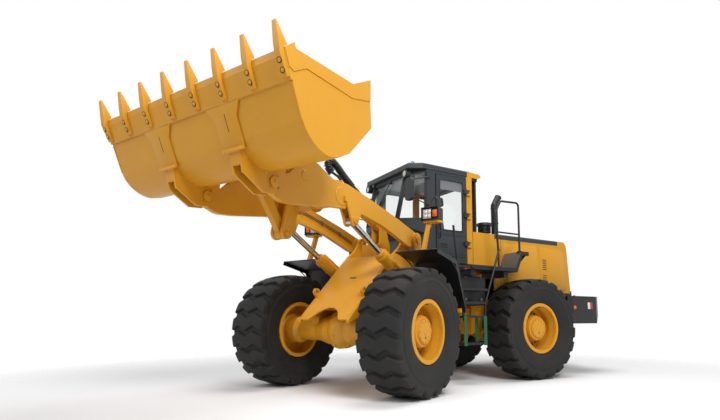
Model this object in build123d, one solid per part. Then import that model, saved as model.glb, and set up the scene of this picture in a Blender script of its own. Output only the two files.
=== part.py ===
"""Articulated wheel loader with a Z-bar loading linkage, in millimetres.

X points forward, Y to the machine's left and Z up. The front half and the rear half are each
drawn straight, with the steering hinge above (0, 0). The front half is then turned to the left
by the steering angle at which the machine stands, and all is moved so that the origin lies on
the ground under the middle of the machine.
"""
from build123d import *
import math
import os

# Pose and overall frame
STEER_ANGLE = 24.2          # front frame turned left about the steering hinge
ORIGIN_X = 503.6
ORIGIN_Y = 863.9

# Running gear
AXLE_X = 1650.0             # each axle from the steering hinge
TRACK = 2200.0
TYRE_D = 1610.0
TYRE_W = 595.0
BEAD_D = 740.0
LUG_COUNT = 20
LUG_H = 38.0
LUG_SHARE = 0.64            # lug's share of its pitch
LUG_WAVE = 5.0              # turn of the zig-zag, degrees
LUG_FLANK = 0.7             # slope of a lug's flank, degrees
CROWN_DROP = 28.0           # fall of the tread from its middle to its shoulder
RIM_D = 790.0
RIM_W = 500.0
RIM_WALL = 22.0
HUB_D = 400.0
HUB_COVER_D = 300.0
DISC_T = 26.0
DISC_OFFSET = -40.0         # wheel disc from the middle of the rim, outwards
SPINDLE_D = 230.0
AXLE_TUBE_D = 300.0
DIFF_D = 540.0
DIFF_FLANGE_D = 500.0
PIN_CLEAR = 0.05            # radial clearance of a pin in its bore
SIDE_CLEAR = 6.0            # clearance beside a plate that moves
SEAT_GAP = 0.3              # gap between parts that touch across a joint

# Steering hinge
HINGE_PIN_D = 90.0
HINGE_EYE_R = 140.0
HINGE_PLATE_T = 50.0
UPPER_HINGE_Z = 1380.0
LOWER_HINGE_Z = 700.0
HINGE_LAP = 1.0             # gap between the hinge plates
STEER_Z = 1050.0
STEER_REAR = (-760.0, 560.0)
STEER_FRONT = (260.0, 380.0)
STEER_EYE_R = 48.0
STEER_BORE_D = 100.0
STEER_ROD_D = 50.0
STEER_PIN_D = 50.0

# Front frame
FRAME_Y = 440.0             # outer face of the front frame's side plates
FRAME_T = 40.0
BOOM_PIN = (760.0, 2130.0)
BOOM_PIN_D = 90.0
LIFT_BASE = (620.0, 1300.0)
LIFT_PIN_D = 80.0
TILT_BASE = (880.0, 2380.0)
TILT_PIN_D = 80.0
SLOPE_FOOT = (2095.0, 950.0)
SLOPE_HEAD = (1120.0, 1880.0)
ARCH_Z = 820.0             # centre of the arch over the differential
ARCH_R = 290.0
FACE_EYE_Z = 1290.0         # height of the two lifting eyes' foot on the sloping face
FACE_EYE_OUT = 43.0         # eye's middle out of the face, along X and up
FACE_EYE_HOLE_D = 56.0

# Boom
BOOM_Y = 550.0              # middle plane of each boom plate
BOOM_T = 70.0
BOSS_T = 100.0
BUCKET_PIN = (3565.0, 2360.0)
BUCKET_PIN_D = 90.0
NOSE_R = 96.0
LIFT_EYE = (2220.0, 2180.0)
LIFT_EYE_R = 62.0
LIFT_ROD_D = 85.0
LIFT_BARREL_D = 170.0
LIFT_BARREL_L = 1085.0
LIFT_REACH_IN = 437.0       # rod's length inside the barrel
LIFT_SHIFT = ((19.0, 108.0), (73.0, 131.0))   # rod eye's shift in its lugs, boom lowest and highest
LIFT_SWING = (11.6, -10.3)  # turn of the rod against the boom at the same two ends
LUG_PAD = (215.0, 275.0)    # where the lugs are welded to the boom plate, above the pin
CROSS_TUBE = (2440.0, 2450.0)
CROSS_TUBE_D = 230.0

# Tilt linkage
CRANK_PIVOT = (2720.0, 2560.0)
CRANK_FOOT = (2860.0, 1985.0)
CRANK_HEAD = (2790.0, 3150.0)
CRANK_Y = 60.0              # inner face of each bellcrank plate
CRANK_T = 40.0
CRANK_PIN_D = 90.0
LINK_HEAD = (3230.0, 2520.0)
LINK_T = 96.0
LINK_EYE_R = 75.0
LINK_PIN_D = 80.0
TILT_ROD_D = 95.0
TILT_BARREL_D = 190.0
TILT_BARREL_L = 1080.0
TILT_REACH_IN = 285.0
TILT_EYE_R = 78.0

# Bucket outline in side view, at the stored angle
LIP = (4267.0, 3242.0)
FLOOR_END = (4024.0, 2676.0)
HEEL_MID = (3869.0, 2507.0)
HEEL_END = (3660.0, 2447.0)
CHAMFER_LOW = (3530.0, 2477.0)
CHAMFER_TOP = (3387.0, 2555.0)
BACK_LOW = (3044.0, 2923.0)
BACK_TOP = (3069.0, 3269.0)
SIDE_FRONT = (4158.0, 3335.0)
SIDE_STEP = (4137.0, 3285.0)
SIDE_REAR = (3356.0, 3282.0)
GUARD_TIP = (3073.0, 3442.0)
BUCKET_W = 2968.0
BUCKET_WALL = 22.0
LIP_T = 18.0                # cutting edge's thickness outside the floor
LIP_L = 270.0
TOOTH_COUNT = 8
TOOTH_L = 480.0
TOOTH_W = 78.0
TOOTH_REACH = 232.0         # tooth tip beyond the lip
HANGER_T = 26.0
HANGER_LIFT = 4.0
WRAP_T = 16.0
WRAP_BEND = (3988.0, 2592.0)     # bend of the hanger's front plate
WRAP_END = (3936.0, 2368.0)
BAND_T = 8.0                # raised band along each side plate's edge
BAND_W = 150.0

# Front mudguards
GUARD_IN = TRACK / 2 - 360
GUARD_OUT = TRACK / 2 + 300
GUARD_T = 10.0
GUARD_FOOT_X = 730.0        # front face of the panel behind the wheel, at its foot
GUARD_END = (1500.0, 1850.0)     # front edge of the top panel

# Rear frame
RAIL_Z = (760.0, 1300.0)
RAIL_Y_FRONT = 330.0
RAIL_Y_REAR = 440.0
RAIL_T = 34.0
RAIL_JOG_X = -960.0
RAIL_END_X = -3100.0
REAR_DECK_Z = 1065.0        # underside of the plate over the rear axle
DECK_T = 35.0

# Cab
CAB_Y = 800.0
CAB_FRONT_X = 200.0
CAB_REAR_X = -600.0
CAB_BACK_X = -860.0
CAB_FLOOR_Z = 1830.0
CAB_SILL_Z = 2290.0
CAB_TOP_Z = 3280.0
CAB_WALL = 40.0
NOSE_X = 560.0
NOSE_Z = 2500.0
NOSE_Y = 500.0
BROW_X = 400.0
ROOF_T = 100.0
ROOF_FRONT_X = 460.0
VISOR_X = -920.0
PILLAR_C_X = -715.0
DOOR_X = (-590.0, 15.0)
DOOR_Z = (1930.0, 3230.0)
DOOR_T = 40.0
DOOR_GAP = 6.0
DOOR_HINGE = (-600.0, 832.0)      # door's hinge line
DOOR_PIN_D = 16.0
KNUCKLE_D = 36.0
KNUCKLE_Z = (2150.0, 2620.0, 3010.0)
KNUCKLE_L = 70.0
GLASS_T = 6.0
PANE_GAP = 1.2              # corner pane's edge from the nose and the brow

# Hood
TYRE_CLEAR = 22.5           # hood's side from the rear tyre
HOOD_Y = TRACK / 2 - TYRE_W / 2 - TYRE_CLEAR
COWL_X = -1210.0
HOOD_TOP_Z = 2385.0
HOOD_LOW_Z = 1420.0
HOOD_REAR_TOP = (-3030.0, 2290.0)
HOOD_REAR_LOW_X = -3100.0
HOOD_WALL = 40.0
HOOD_PIVOT = (-3010.0, 1500.0)
HOOD_PIN_D = 40.0
EAR_SWEEP = 80.0            # height above the pivot that the frame's ears need
CAP_REAR_X = -2790.0
CAP_LOW_Z = 2300.0
EXHAUST = (-1770.0, 200.0)
EXHAUST_D = 130.0
EXHAUST_TOP_Z = 3060.0
CLEANER = (-1510.0, 200.0)
CLEANER_D = 190.0

# Counterweight
WEIGHT_Y = 1200.0
WEIGHT_X = (-2570.0, -3580.0)
WEIGHT_Z = (870.0, 1350.0)
TOW_PIN_D = 52.0

# Walkways
WALK_Z = 1760.0
WALK_T = 60.0
WALK_IN = HOOD_Y + 50
WALK_OUT = WALK_IN + 400
WALK_FRONT_X = -310.0
WALK_BEND_X = -1250.0
WALK_TAIL_X = -1390.0
WALK_END_X = -1550.0
WALK_TAIL_Z = 2040.0
RAIL_D = 34.0
LADDER_FRONT = ((35.0, 2330.0), (-142.0, 930.0))
LADDER_REAR = ((-874.0, 2040.0), (-567.0, 1205.0), (-545.0, 930.0))
STEP_Z = (1390.0, 1190.0, 985.0)
LOW_STEP_Z = 590.0
STEP_DEPTH = 170.0
STRAP_T = 8.0
STRAP_W = 60.0


def flat(points, y=0.0):
    """Flat face in the plane y, from (x, z) corners."""
    return make_face(Polyline(*[(x, y, z) for x, z in points], close=True))


def plate(points, y_low, y_high):
    """Plate between two Y planes, from its (x, z) corners."""
    return extrude(flat(points, y_low), amount=y_high - y_low, dir=(0, 1, 0))


def soft_plate(points, radii, y_low, y_high):
    """Plate like plate(), its corners rounded by the given radii."""
    corners = [(x, y_low, z) for x, z in points]
    face = make_face(FilletPolyline(*corners, radius=radii, close=True))
    return extrude(face, amount=y_high - y_low, dir=(0, 1, 0))


def level_plate(points, z_low, z_high):
    """Plate between two heights, from its (x, y) corners."""
    face = make_face(Polyline(*[(x, y, z_low) for x, y in points], close=True))
    return extrude(face, amount=z_high - z_low, dir=(0, 0, 1))


def block(x, y, z):
    """Box from its lowest and highest X, Y and Z."""
    low = Vector(min(x), min(y), min(z))
    high = Vector(max(x), max(y), max(z))
    size = high - low
    middle = (low + high) * 0.5
    return Pos(middle.X, middle.Y, middle.Z) * Box(size.X, size.Y, size.Z)


def bar(start, end, diameter):
    """Round bar between two points."""
    a, b = Vector(*start), Vector(*end)
    return Solid.make_cylinder(diameter / 2, (b - a).length, Plane(origin=a, z_dir=b - a))


def pin(x, z, y_low, y_high, diameter):
    """Round bar along Y."""
    return bar((x, y_low, z), (x, y_high, z), diameter)


def post(x, y, z_low, z_high, diameter):
    """Round bar along Z."""
    return bar((x, y, z_low), (x, y, z_high), diameter)


def bent_bar(points, diameter, bend):
    """Round bar bent along a route, every corner with the same bend."""
    route = FilletPolyline(*points, radius=bend)
    start = Plane(origin=route.position_at(0), z_dir=route.tangent_at(0))
    return sweep(start * Circle(diameter / 2), path=route)


def strip(a, b, width, y_low, y_high):
    """Straight flat arm with round ends, between two (x, z) points."""
    ax, az = a
    bx, bz = b
    length = math.hypot(bx - ax, bz - az)
    sx = -(bz - az) / length * width / 2
    sz = (bx - ax) / length * width / 2
    arm = plate([(ax + sx, az + sz), (bx + sx, bz + sz), (bx - sx, bz - sz), (ax - sx, az - sz)],
                y_low, y_high)
    return arm + pin(ax, az, y_low, y_high, width) + pin(bx, bz, y_low, y_high, width)


def taper(a, b, width_a, width_b, y_low, y_high):
    """Flat arm with round ends of two widths, between two (x, z) points."""
    ax, az = a
    bx, bz = b
    length = math.hypot(bx - ax, bz - az)
    nx, nz = -(bz - az) / length, (bx - ax) / length
    arm = plate([(ax + nx * width_a / 2, az + nz * width_a / 2),
                 (bx + nx * width_b / 2, bz + nz * width_b / 2),
                 (bx - nx * width_b / 2, bz - nz * width_b / 2),
                 (ax - nx * width_a / 2, az - nz * width_a / 2)], y_low, y_high)
    return arm + pin(ax, az, y_low, y_high, width_a) + pin(bx, bz, y_low, y_high, width_b)


def toward(a, b, distance):
    """Point at a distance from a on the way to b, all (x, z)."""
    length = math.hypot(b[0] - a[0], b[1] - a[1])
    share = distance / length
    return (a[0] + (b[0] - a[0]) * share, a[1] + (b[1] - a[1]) * share)


def mirrored(solid):
    """The same piece on the machine's right."""
    return mirror(solid, about=Plane.XZ)


def pair(solid):
    """A piece and its twin on the machine's right."""
    return [solid, mirrored(solid)]


def both(pieces):
    """Several pieces and their twins on the machine's right."""
    return pieces + [mirrored(piece) for piece in pieces]


def fuse(pieces):
    """One solid from pieces that overlap."""
    whole = pieces[0]
    for piece in pieces[1:]:
        whole = whole + piece
    return whole


# Wheels

WHEEL_R = TYRE_D / 2
BEAD_R = BEAD_D / 2
HUB_DEPTH = 210.0           # wheel hub outwards from the wheel disc
SPINDLE_TIP = 60.0          # axle spindle's end, outwards from the middle of the rim


def ring_profile(points):
    """Turned solid about Y, from (y, radius) corners."""
    face = make_face(Polyline(*[(0, y, r) for y, r in points], close=True))
    return revolve(face, Axis.Y, 360)


def wheel_point(angle, y, radius):
    """Point about the wheel's axis Y, angle in degrees."""
    turn = math.radians(angle)
    return Vector(radius * math.cos(turn), y, radius * math.sin(turn))


def lug_edge(angle, depth):
    """Points of one lug edge from shoulder to shoulder: a zig-zag at a depth below the crown."""
    points = []
    for step in range(-2, 3):
        wave = LUG_WAVE if abs(step) == 1 else 0
        share = step / 2 * 0.96
        drop = CROWN_DROP * share ** 2
        points.append(wheel_point(angle + wave, share * TYRE_W / 2, WHEEL_R - drop - depth))
    return points


def wall_line(angle, side):
    """Points down one sidewall at an angle, from the groove's end to the bead."""
    groove = lug_edge(angle, LUG_H)[2 + 2 * side]
    half = TYRE_W / 2
    bead_y = RIM_W / 2 - RIM_WALL
    facet = math.radians(360.0 / LUG_COUNT * LUG_SHARE / 2 + LUG_FLANK)
    bead_r = (BEAD_R + SEAT_GAP) / math.cos(facet)
    bulge = [(half, WHEEL_R * 0.79), (half * 0.95, WHEEL_R * 0.60), (bead_y, RIM_D / 2 + 4),
             (bead_y, bead_r)]
    return [groove] + [wheel_point(angle, side * y, r) for y, r in bulge]


def facets_between(line_a, line_b):
    """Triangles that join two lines of points."""
    corners = []
    for (a, b), (c, d) in zip(zip(line_a, line_a[1:]), zip(line_b, line_b[1:])):
        corners += [(a, b, d), (a, d, c)]
    return [Face(Wire.make_polygon(list(three), close=True)) for three in corners]


def tyre():
    """Tyre with zig-zag lugs across its tread, about Y: the facets of one pitch, repeated."""
    pitch = 360.0 / LUG_COUNT
    faces = []
    for i in range(LUG_COUNT):
        start, end = i * pitch, (i + LUG_SHARE) * pitch
        tops = lug_edge(start, 0), lug_edge(end, 0)
        lows = lug_edge(start - LUG_FLANK, LUG_H), lug_edge(end + LUG_FLANK, LUG_H)
        after = lug_edge(start + pitch - LUG_FLANK, LUG_H)
        for line_a, line_b in ((lows[0], tops[0]), tops, (tops[1], lows[1]), (lows[1], after)):
            faces += facets_between(line_a, line_b)
        for k in (0, -1):
            faces += facets_between([lows[0][k], lows[1][k]], [tops[0][k], tops[1][k]])
        turns = (start - LUG_FLANK, end + LUG_FLANK, start + pitch - LUG_FLANK)
        for a, b in zip(turns, turns[1:]):
            for side in (1, -1):
                faces += facets_between(wall_line(a, side), wall_line(b, side))
            beads = [[wall_line(turn, -1)[-1], wall_line(turn, 1)[-1]] for turn in (a, b)]
            faces += facets_between(*beads)
    return Solid(Shell(faces))


def rim():
    """Rim, disc and hub, open side outwards at +Y."""
    half = RIM_W / 2
    barrel = ring_profile([(-half, BEAD_R - RIM_WALL), (half, BEAD_R - RIM_WALL), (half, RIM_D / 2),
                           (half - RIM_WALL, RIM_D / 2), (half - RIM_WALL, BEAD_R),
                           (-half + RIM_WALL, BEAD_R), (-half + RIM_WALL, RIM_D / 2),
                           (-half, RIM_D / 2)])
    disc_in = DISC_OFFSET
    disc_out = DISC_OFFSET + DISC_T
    disc = ring_profile([(disc_in, SPINDLE_D / 2 + 20), (disc_out, SPINDLE_D / 2 + 20),
                         (disc_out, BEAD_R - 5), (disc_in, BEAD_R - 5)])
    hub_out = disc_out + HUB_DEPTH
    bore = SPINDLE_D / 2 + PIN_CLEAR
    cap = SPINDLE_TIP + 2
    hub = ring_profile([(-150, bore), (cap, bore), (cap, 0), (hub_out, 0),
                        (hub_out, HUB_COVER_D / 2), (hub_out - 26, HUB_COVER_D / 2 + 10),
                        (hub_out - 30, HUB_D / 2 - 14), (hub_out - 60, HUB_D / 2),
                        (disc_out, HUB_D / 2 + 20), (disc_in - 10, HUB_D / 2 + 40),
                        (-90, SPINDLE_D / 2 + 60), (-150, SPINDLE_D / 2 + 60)])
    return barrel + disc + hub


def axle():
    """Drive axle with its differential, brake housings and spindles, about the axle's middle."""
    tip = TRACK / 2 + SPINDLE_TIP
    neck = TRACK / 2 - 165
    brake = neck - 130
    body = ring_profile([(0, 0), (tip, 0), (tip, SPINDLE_D / 2), (neck, SPINDLE_D / 2),
                         (neck, SPINDLE_D / 2 + 75), (brake, SPINDLE_D / 2 + 75),
                         (brake - 60, AXLE_TUBE_D / 2), (420, AXLE_TUBE_D / 2),
                         (230, DIFF_D / 2 - 70), (0, DIFF_D / 2 - 50)])
    body = body + mirrored(body)
    bulb = Sphere(DIFF_D / 2 - 20)
    flange = bar((60, 0, 0), (95, 0, 0), DIFF_FLANGE_D)
    return body + bulb + flange


def wheel_set(axle_x):
    """Left and right tyre and rim on one axle."""
    wheels = {}
    for side, sign in (("left", 1), ("right", -1)):
        for name, piece in (("tyre", tyre()), ("rim", rim())):
            if sign < 0:
                piece = mirrored(piece)
            wheels[side + "_" + name] = Pos(axle_x, sign * TRACK / 2, WHEEL_R) * piece
    return wheels


# Front frame

def hinge_plate(z_middle, reach, inner_y, lap):
    """Hinge plates toward +X from the steering hinge, above and below a tongue."""
    outline = [(0, HINGE_EYE_R), (0, -HINGE_EYE_R), (reach * 0.6, -inner_y), (reach, -inner_y),
               (reach, inner_y), (reach * 0.6, inner_y)]
    plates = []
    for low in lap:
        tongue = level_plate(outline, z_middle + low, z_middle + low + HINGE_PLATE_T)
        eye = post(0, 0, z_middle + low, z_middle + low + HINGE_PLATE_T, HINGE_EYE_R * 2)
        plates.append(tongue + eye)
    return plates


def front_frame():
    """Welded front frame: side plates, sloping face, tower, hinge tongues and pin carriers."""
    bx, bz = BOOM_PIN
    ear_r = 100.0
    side = [(SLOPE_FOOT[0], SLOPE_FOOT[1] - 40), SLOPE_FOOT, SLOPE_HEAD, (bx + 190, SLOPE_HEAD[1] + 130),
            (bx + ear_r, bz), (bx - ear_r, bz), (bx - ear_r - 10, 1880), (400, 1560),
            (330, UPPER_HINGE_Z + 60), (330, LOWER_HINGE_Z - 40), (700, LOWER_HINGE_Z - 80),
            (1180, 760), (1420, 985), (1880, 985)]
    plates = []
    for y_out in (FRAME_Y, -FRAME_Y + FRAME_T):
        wall = plate(side, y_out - FRAME_T, y_out)
        wall = wall + pin(bx, bz, y_out - FRAME_T, y_out, ear_r * 2)
        plates.append(wall)
    inner = FRAME_Y - FRAME_T / 2
    face = plate([SLOPE_FOOT, SLOPE_HEAD, (SLOPE_HEAD[0] - 45, SLOPE_HEAD[1] - 12),
                  (SLOPE_FOOT[0] - 45, SLOPE_FOOT[1] - 12)], -inner, inner)
    face = face - bar((AXLE_X, 0, ARCH_Z), (SLOPE_FOOT[0] + 40, 0, ARCH_Z), 2 * ARCH_R)
    back = block((330, 370), (-inner, inner), (LOWER_HINGE_Z - 40, UPPER_HINGE_Z + 60))
    saddle = block((1420, 1700), (-inner, inner), (1075, 1110))
    feet = [block((1420, 1880), (y - 50, y + 50), (985, 1015)) for y in (-inner, inner)]
    belly = block((500, 1180), (-inner, inner), (LOWER_HINGE_Z - 60, LOWER_HINGE_Z - 20))
    column = block((SLOPE_HEAD[0] - 130, SLOPE_HEAD[0] - 20), (-150, 150), (1500, 2060))
    column = column + block((640, SLOPE_HEAD[0] - 20), (-inner, inner), (1780, 1830))
    tx, tz = TILT_BASE
    ear_in = LINK_T / 2 + SIDE_CLEAR
    for y_low in (ear_in, -ear_in - 30):
        ear = plate([(660, 1800), (1000, 1800), (1000, 1990), (tx + 66, 2120), (tx + 66, tz),
                     (tx - 66, tz), (700, 2080)], y_low, y_low + 30)
        column = column + ear + pin(tx, tz, y_low, y_low + 30, 132)
    tilt_pin = pin(tx, tz, -ear_in - 50, ear_in + 50, TILT_PIN_D)
    frame = fuse(plates + [face, back, saddle, belly, column, tilt_pin] + feet)
    # Outer boom ears and their shelves
    ear_low = BOOM_Y + BOSS_T / 2 + SIDE_CLEAR
    shelf = block((bx - ear_r, bx - 60), (FRAME_Y - 20, ear_low + 30), (1850, 1960))
    ear = plate([(bx - ear_r, 1850), (bx + 10, 1850), (bx + ear_r, bz), (bx - ear_r, bz)],
                ear_low, ear_low + 30)
    ear = ear + pin(bx, bz, ear_low, ear_low + 30, ear_r * 2) + shelf
    boom_pin = pin(bx, bz, FRAME_Y - 70, ear_low + 44, BOOM_PIN_D)
    lx, lz = LIFT_BASE
    lift_pin = pin(lx, lz, FRAME_Y - 20, BOOM_Y + 66, LIFT_PIN_D)
    lift_boss = pin(lx, lz, FRAME_Y - 10, BOOM_Y - 46, 150)
    keeper = pin(lx, lz, BOOM_Y + 50, BOOM_Y + 66, 110)
    # Fork for the steering cylinder's rod, and the mudguard's carrier
    sx, sy = STEER_FRONT
    fork = []
    eye_half = STEER_EYE_R - 14
    for low in (-eye_half - SIDE_CLEAR - 26, eye_half + SIDE_CLEAR):
        fork.append(level_plate([(sx - 10, sy - 45), (350, sy - 60), (350, sy + 60), (sx - 10, sy + 45)],
                                STEER_Z + low, STEER_Z + low + 26) +
                    post(sx, sy, STEER_Z + low, STEER_Z + low + 26, 96))
    carrier = block((GUARD_FOOT_X + SEAT_GAP, GUARD_FOOT_X + 60), (FRAME_Y - 20, GUARD_OUT - 60),
                    (1040, 1100))
    half = fuse([ear, boom_pin, lift_pin, lift_boss, keeper, carrier] + fork)
    # Windows in the back plate that let the cylinders' eyes swing
    window_z = (STEER_Z - eye_half - SIDE_CLEAR, STEER_Z + eye_half + SIDE_CLEAR)
    window = block((320, 366), (sy - 110, sy + 66), window_z)
    frame = frame + half + mirrored(half) - window - mirrored(window)
    # Tongues for the steering hinge
    for z in (UPPER_HINGE_Z, LOWER_HINGE_Z):
        for tongue in hinge_plate(z, 350, 300, [-HINGE_PLATE_T / 2]):
            bore = post(0, 0, z - HINGE_PLATE_T, z + HINGE_PLATE_T, HINGE_PIN_D + 2 * PIN_CLEAR)
            frame = frame + (tongue - bore)
    return frame


def lifting_eye():
    """Left lifting eye, welded on the sloping face in line with the side plate."""
    run = (SLOPE_FOOT[0] - SLOPE_HEAD[0]) / (SLOPE_HEAD[1] - SLOPE_FOOT[1])
    x, z = SLOPE_FOOT[0] - (FACE_EYE_Z - SLOPE_FOOT[1]) * run + FACE_EYE_OUT, FACE_EYE_Z + FACE_EYE_OUT
    eye = strip((x, z), (x - 70, z - 73), 104, FRAME_Y - FRAME_T, FRAME_Y)
    under = plate([SLOPE_FOOT, SLOPE_HEAD, (SLOPE_HEAD[0] - 300, SLOPE_HEAD[1] - 300),
                   (SLOPE_FOOT[0] - 300, SLOPE_FOOT[1] - 300)], 0, FRAME_Y + 1)
    return eye - under - pin(x, z, FRAME_Y - FRAME_T - 1, FRAME_Y + 1, FACE_EYE_HOLE_D)


def front_axle():
    """Front axle under its saddle."""
    saddle_top = 985.0
    pads = []
    for y in (-420, 420):
        pads.append(block((AXLE_X - 130, AXLE_X + 130), (y - 60, y + 60), (WHEEL_R, saddle_top)))
    return fuse([Pos(AXLE_X, 0, WHEEL_R) * axle()] + pads)


def mudguard():
    """Left front mudguard: a panel behind the wheel, bent forward to end over the wheel's top."""
    end_x, end_z = GUARD_END
    line = [(720, 1040), (700, 1100), (985, 1745), GUARD_END]
    lower = [(end_x + 2, end_z - 12), (992, 1736), (GUARD_FOOT_X - 18, 1100), (GUARD_FOOT_X, 1040)]
    guard = plate(line + lower, GUARD_IN, GUARD_OUT)
    lip = [(720, 1040), (700, 1100), (985, 1745), GUARD_END, (end_x + 11, end_z - 54), (1015, 1695),
           (745, 1100), (760, 1040)]
    return guard + plate(lip, GUARD_OUT - GUARD_T, GUARD_OUT)


def headlamp_stalk():
    """Square tube that carries the left headlamp above the mudguard."""
    foot, head = 1300.0, (1130.0, 2290.0)
    rise = (1850.0 - 1745.0) / (1500.0 - 985.0)
    floor = 1745.0 + rise * (foot - 985.0) + 0.3
    arm = plate([(foot - 34, floor - 34 * rise), (foot + 34, floor + 34 * rise), (head[0] + 30, head[1]),
                 (head[0] - 30, head[1])], 1030, 1085)
    return arm + block((1060, 1200), (1000, 1230), (2270, 2300))


def headlamp():
    """Left headlamp in its housing, with the turn lamp beside it."""
    housing = block((1070, 1190), (980, 1240), (2300.3, 2480))
    housing = fillet(housing.edges().filter_by(Axis.X), 24)
    lens = block((1185, 1203), (994, 1130), (2322, 2458))
    turn = block((1185, 1200), (1144, 1226), (2340, 2440))
    return housing + lens + turn


# Boom

def boom_plate():
    """Left boom plate with its bosses and the lugs of the lift cylinder."""
    ax, az = BOOM_PIN
    bx, bz = BUCKET_PIN
    lx, lz = LIFT_EYE
    y_low, y_high = BOOM_Y - BOOM_T / 2, BOOM_Y + BOOM_T / 2
    edge = [(ax - 20, az + 105), (1180, 2362), (1850, 2522), (2330, 2625), (2660, 2625), (2890, 2762),
            (3210, 2632), (3330, 2510), (bx + 20, bz + 93), (bx + 40, bz - 87), (3390, 2190),
            (3160, 2206), (2670, 2280), (2400, 2306), (2000, 2290), (1550, 2210), (920, 2010),
            (ax - 20, az - 105)]
    soft = [0, 500, 600, 150, 150, 120, 120, 150, 90, 90, 220, 300, 400, 300, 300, 500, 200, 0]
    body = soft_plate(edge, soft, y_low, y_high)
    boss_low, boss_high = BOOM_Y - BOSS_T / 2, BOOM_Y + BOSS_T / 2
    for x, z, r in ((ax, az, 99.0), (bx, bz, NOSE_R)):
        body = body + pin(x, z, boss_low, boss_high, r * 2)
    # Lugs of the lift cylinder, with room for the rod and its eye between them
    lug_in, lug_out = BOSS_T / 2 - 4, BOSS_T / 2 + 22
    pad_low, pad_high = LUG_PAD
    body = body + plate([(lx - 185, lz + pad_low), (lx + 200, lz + pad_low), (lx + 200, lz + pad_high),
                         (lx - 185, lz + pad_high - 20)], BOOM_Y - lug_out, BOOM_Y + lug_out)
    rest_angle = math.atan2(LIFT_BASE[1] - lz, LIFT_BASE[0] - lx)
    for (dx, dz), swing in zip(LIFT_SHIFT, LIFT_SWING):
        eye = (lx + dx, lz + dz)
        angle = rest_angle + math.radians(swing)
        tail = (eye[0] + 360 * math.cos(angle), eye[1] + 360 * math.sin(angle))
        body = body - strip((lx, lz), eye, LIFT_EYE_R * 2 + 16, BOOM_Y - lug_in, BOOM_Y + lug_in)
        body = body - strip(eye, tail, LIFT_ROD_D + 16, BOOM_Y - lug_in, BOOM_Y + lug_in)
    for low, head in ((-lug_out, -lug_out - 10), (lug_in, lug_in)):
        y = BOOM_Y + low
        lug = plate([(lx - 185, lz + pad_high - 20), (lx + 200, lz + pad_high), (lx + 66, lz - 10),
                     (lx - 66, lz - 10)], y, y + lug_out - lug_in)
        lug = lug + pin(lx, lz, y, y + lug_out - lug_in, 140)
        body = body + lug + pin(lx, lz, BOOM_Y + head, BOOM_Y + head + 36, 84)
    for x, z, d in ((ax, az, BOOM_PIN_D), (bx, bz, BUCKET_PIN_D)):
        body = body - pin(x, z, boss_low - 1, boss_high + 1, d + 2 * PIN_CLEAR)
    return body


def boom():
    """Both boom plates, the cross tube and the bellcrank's carriers."""
    cx, cz = CROSS_TUBE
    px, pz = CRANK_PIVOT
    left = boom_plate()
    tube = pin(cx, cz, -BOOM_Y, BOOM_Y, CROSS_TUBE_D)
    parts = [left, mirrored(left), tube]
    carrier_in = CRANK_Y + CRANK_T + SIDE_CLEAR + 14
    for y_low in (carrier_in, -carrier_in - 34):
        parts.append(taper(CROSS_TUBE, CRANK_PIVOT, 300, 190, y_low, y_low + 34))
    parts.append(pin(px, pz, -carrier_in - 50, carrier_in + 50, CRANK_PIN_D))
    return fuse(parts)


def bellcrank():
    """Bellcrank of two plates about the pivot's boss, with the pin heads at both ends."""
    px, pz = CRANK_PIVOT
    y_out = CRANK_Y + CRANK_T
    parts = []
    for y_low in (CRANK_Y, -y_out):
        cheek = taper(CRANK_PIVOT, CRANK_FOOT, 230, 160, y_low, y_low + CRANK_T)
        cheek = cheek + taper(CRANK_PIVOT, CRANK_HEAD, 230, 160, y_low, y_low + CRANK_T)
        parts.append(cheek)
    boss = pin(px, pz, -y_out - 10, y_out + 10, 200)
    parts.append(boss)
    for x, z in (CRANK_FOOT, CRANK_HEAD):
        parts.append(pin(x, z, y_out - 5, y_out + 22, 84))
        parts.append(pin(x, z, -y_out - 22, -y_out + 5, 84))
    return fuse(parts) - pin(px, pz, -y_out - 11, y_out + 11, CRANK_PIN_D + 2 * PIN_CLEAR)


def bucket_link():
    """Link from the bellcrank's foot to the bucket."""
    half = LINK_T / 2
    bar_solid = strip(CRANK_FOOT, LINK_HEAD, 110, -half + 8, half - 8)
    eyes = [pin(x, z, -half, half, LINK_EYE_R * 2) for x, z in (CRANK_FOOT, LINK_HEAD)]
    hx, hz = LINK_HEAD
    fx, fz = CRANK_FOOT
    solid = fuse([bar_solid] + eyes)
    solid = solid - pin(hx, hz, -half - 1, half + 1, LINK_PIN_D + 2 * PIN_CLEAR)
    return solid - pin(fx, fz, -half - 1, half + 1, LINK_PIN_D)


# Bucket

def bucket_outline():
    """Closed outline of the bucket's shell in side view, as a face at y = 0."""
    def point(p):
        return (p[0], 0, p[1])
    floor = Line(point(LIP), point(FLOOR_END))
    heel = ThreePointArc(point(FLOOR_END), point(HEEL_MID), point(HEEL_END))
    rest = Polyline(point(HEEL_END), point(CHAMFER_LOW), point(CHAMFER_TOP), point(BACK_LOW),
                    point(BACK_TOP), point(LIP))
    return make_face([floor, heel] + rest.edges())


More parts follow.
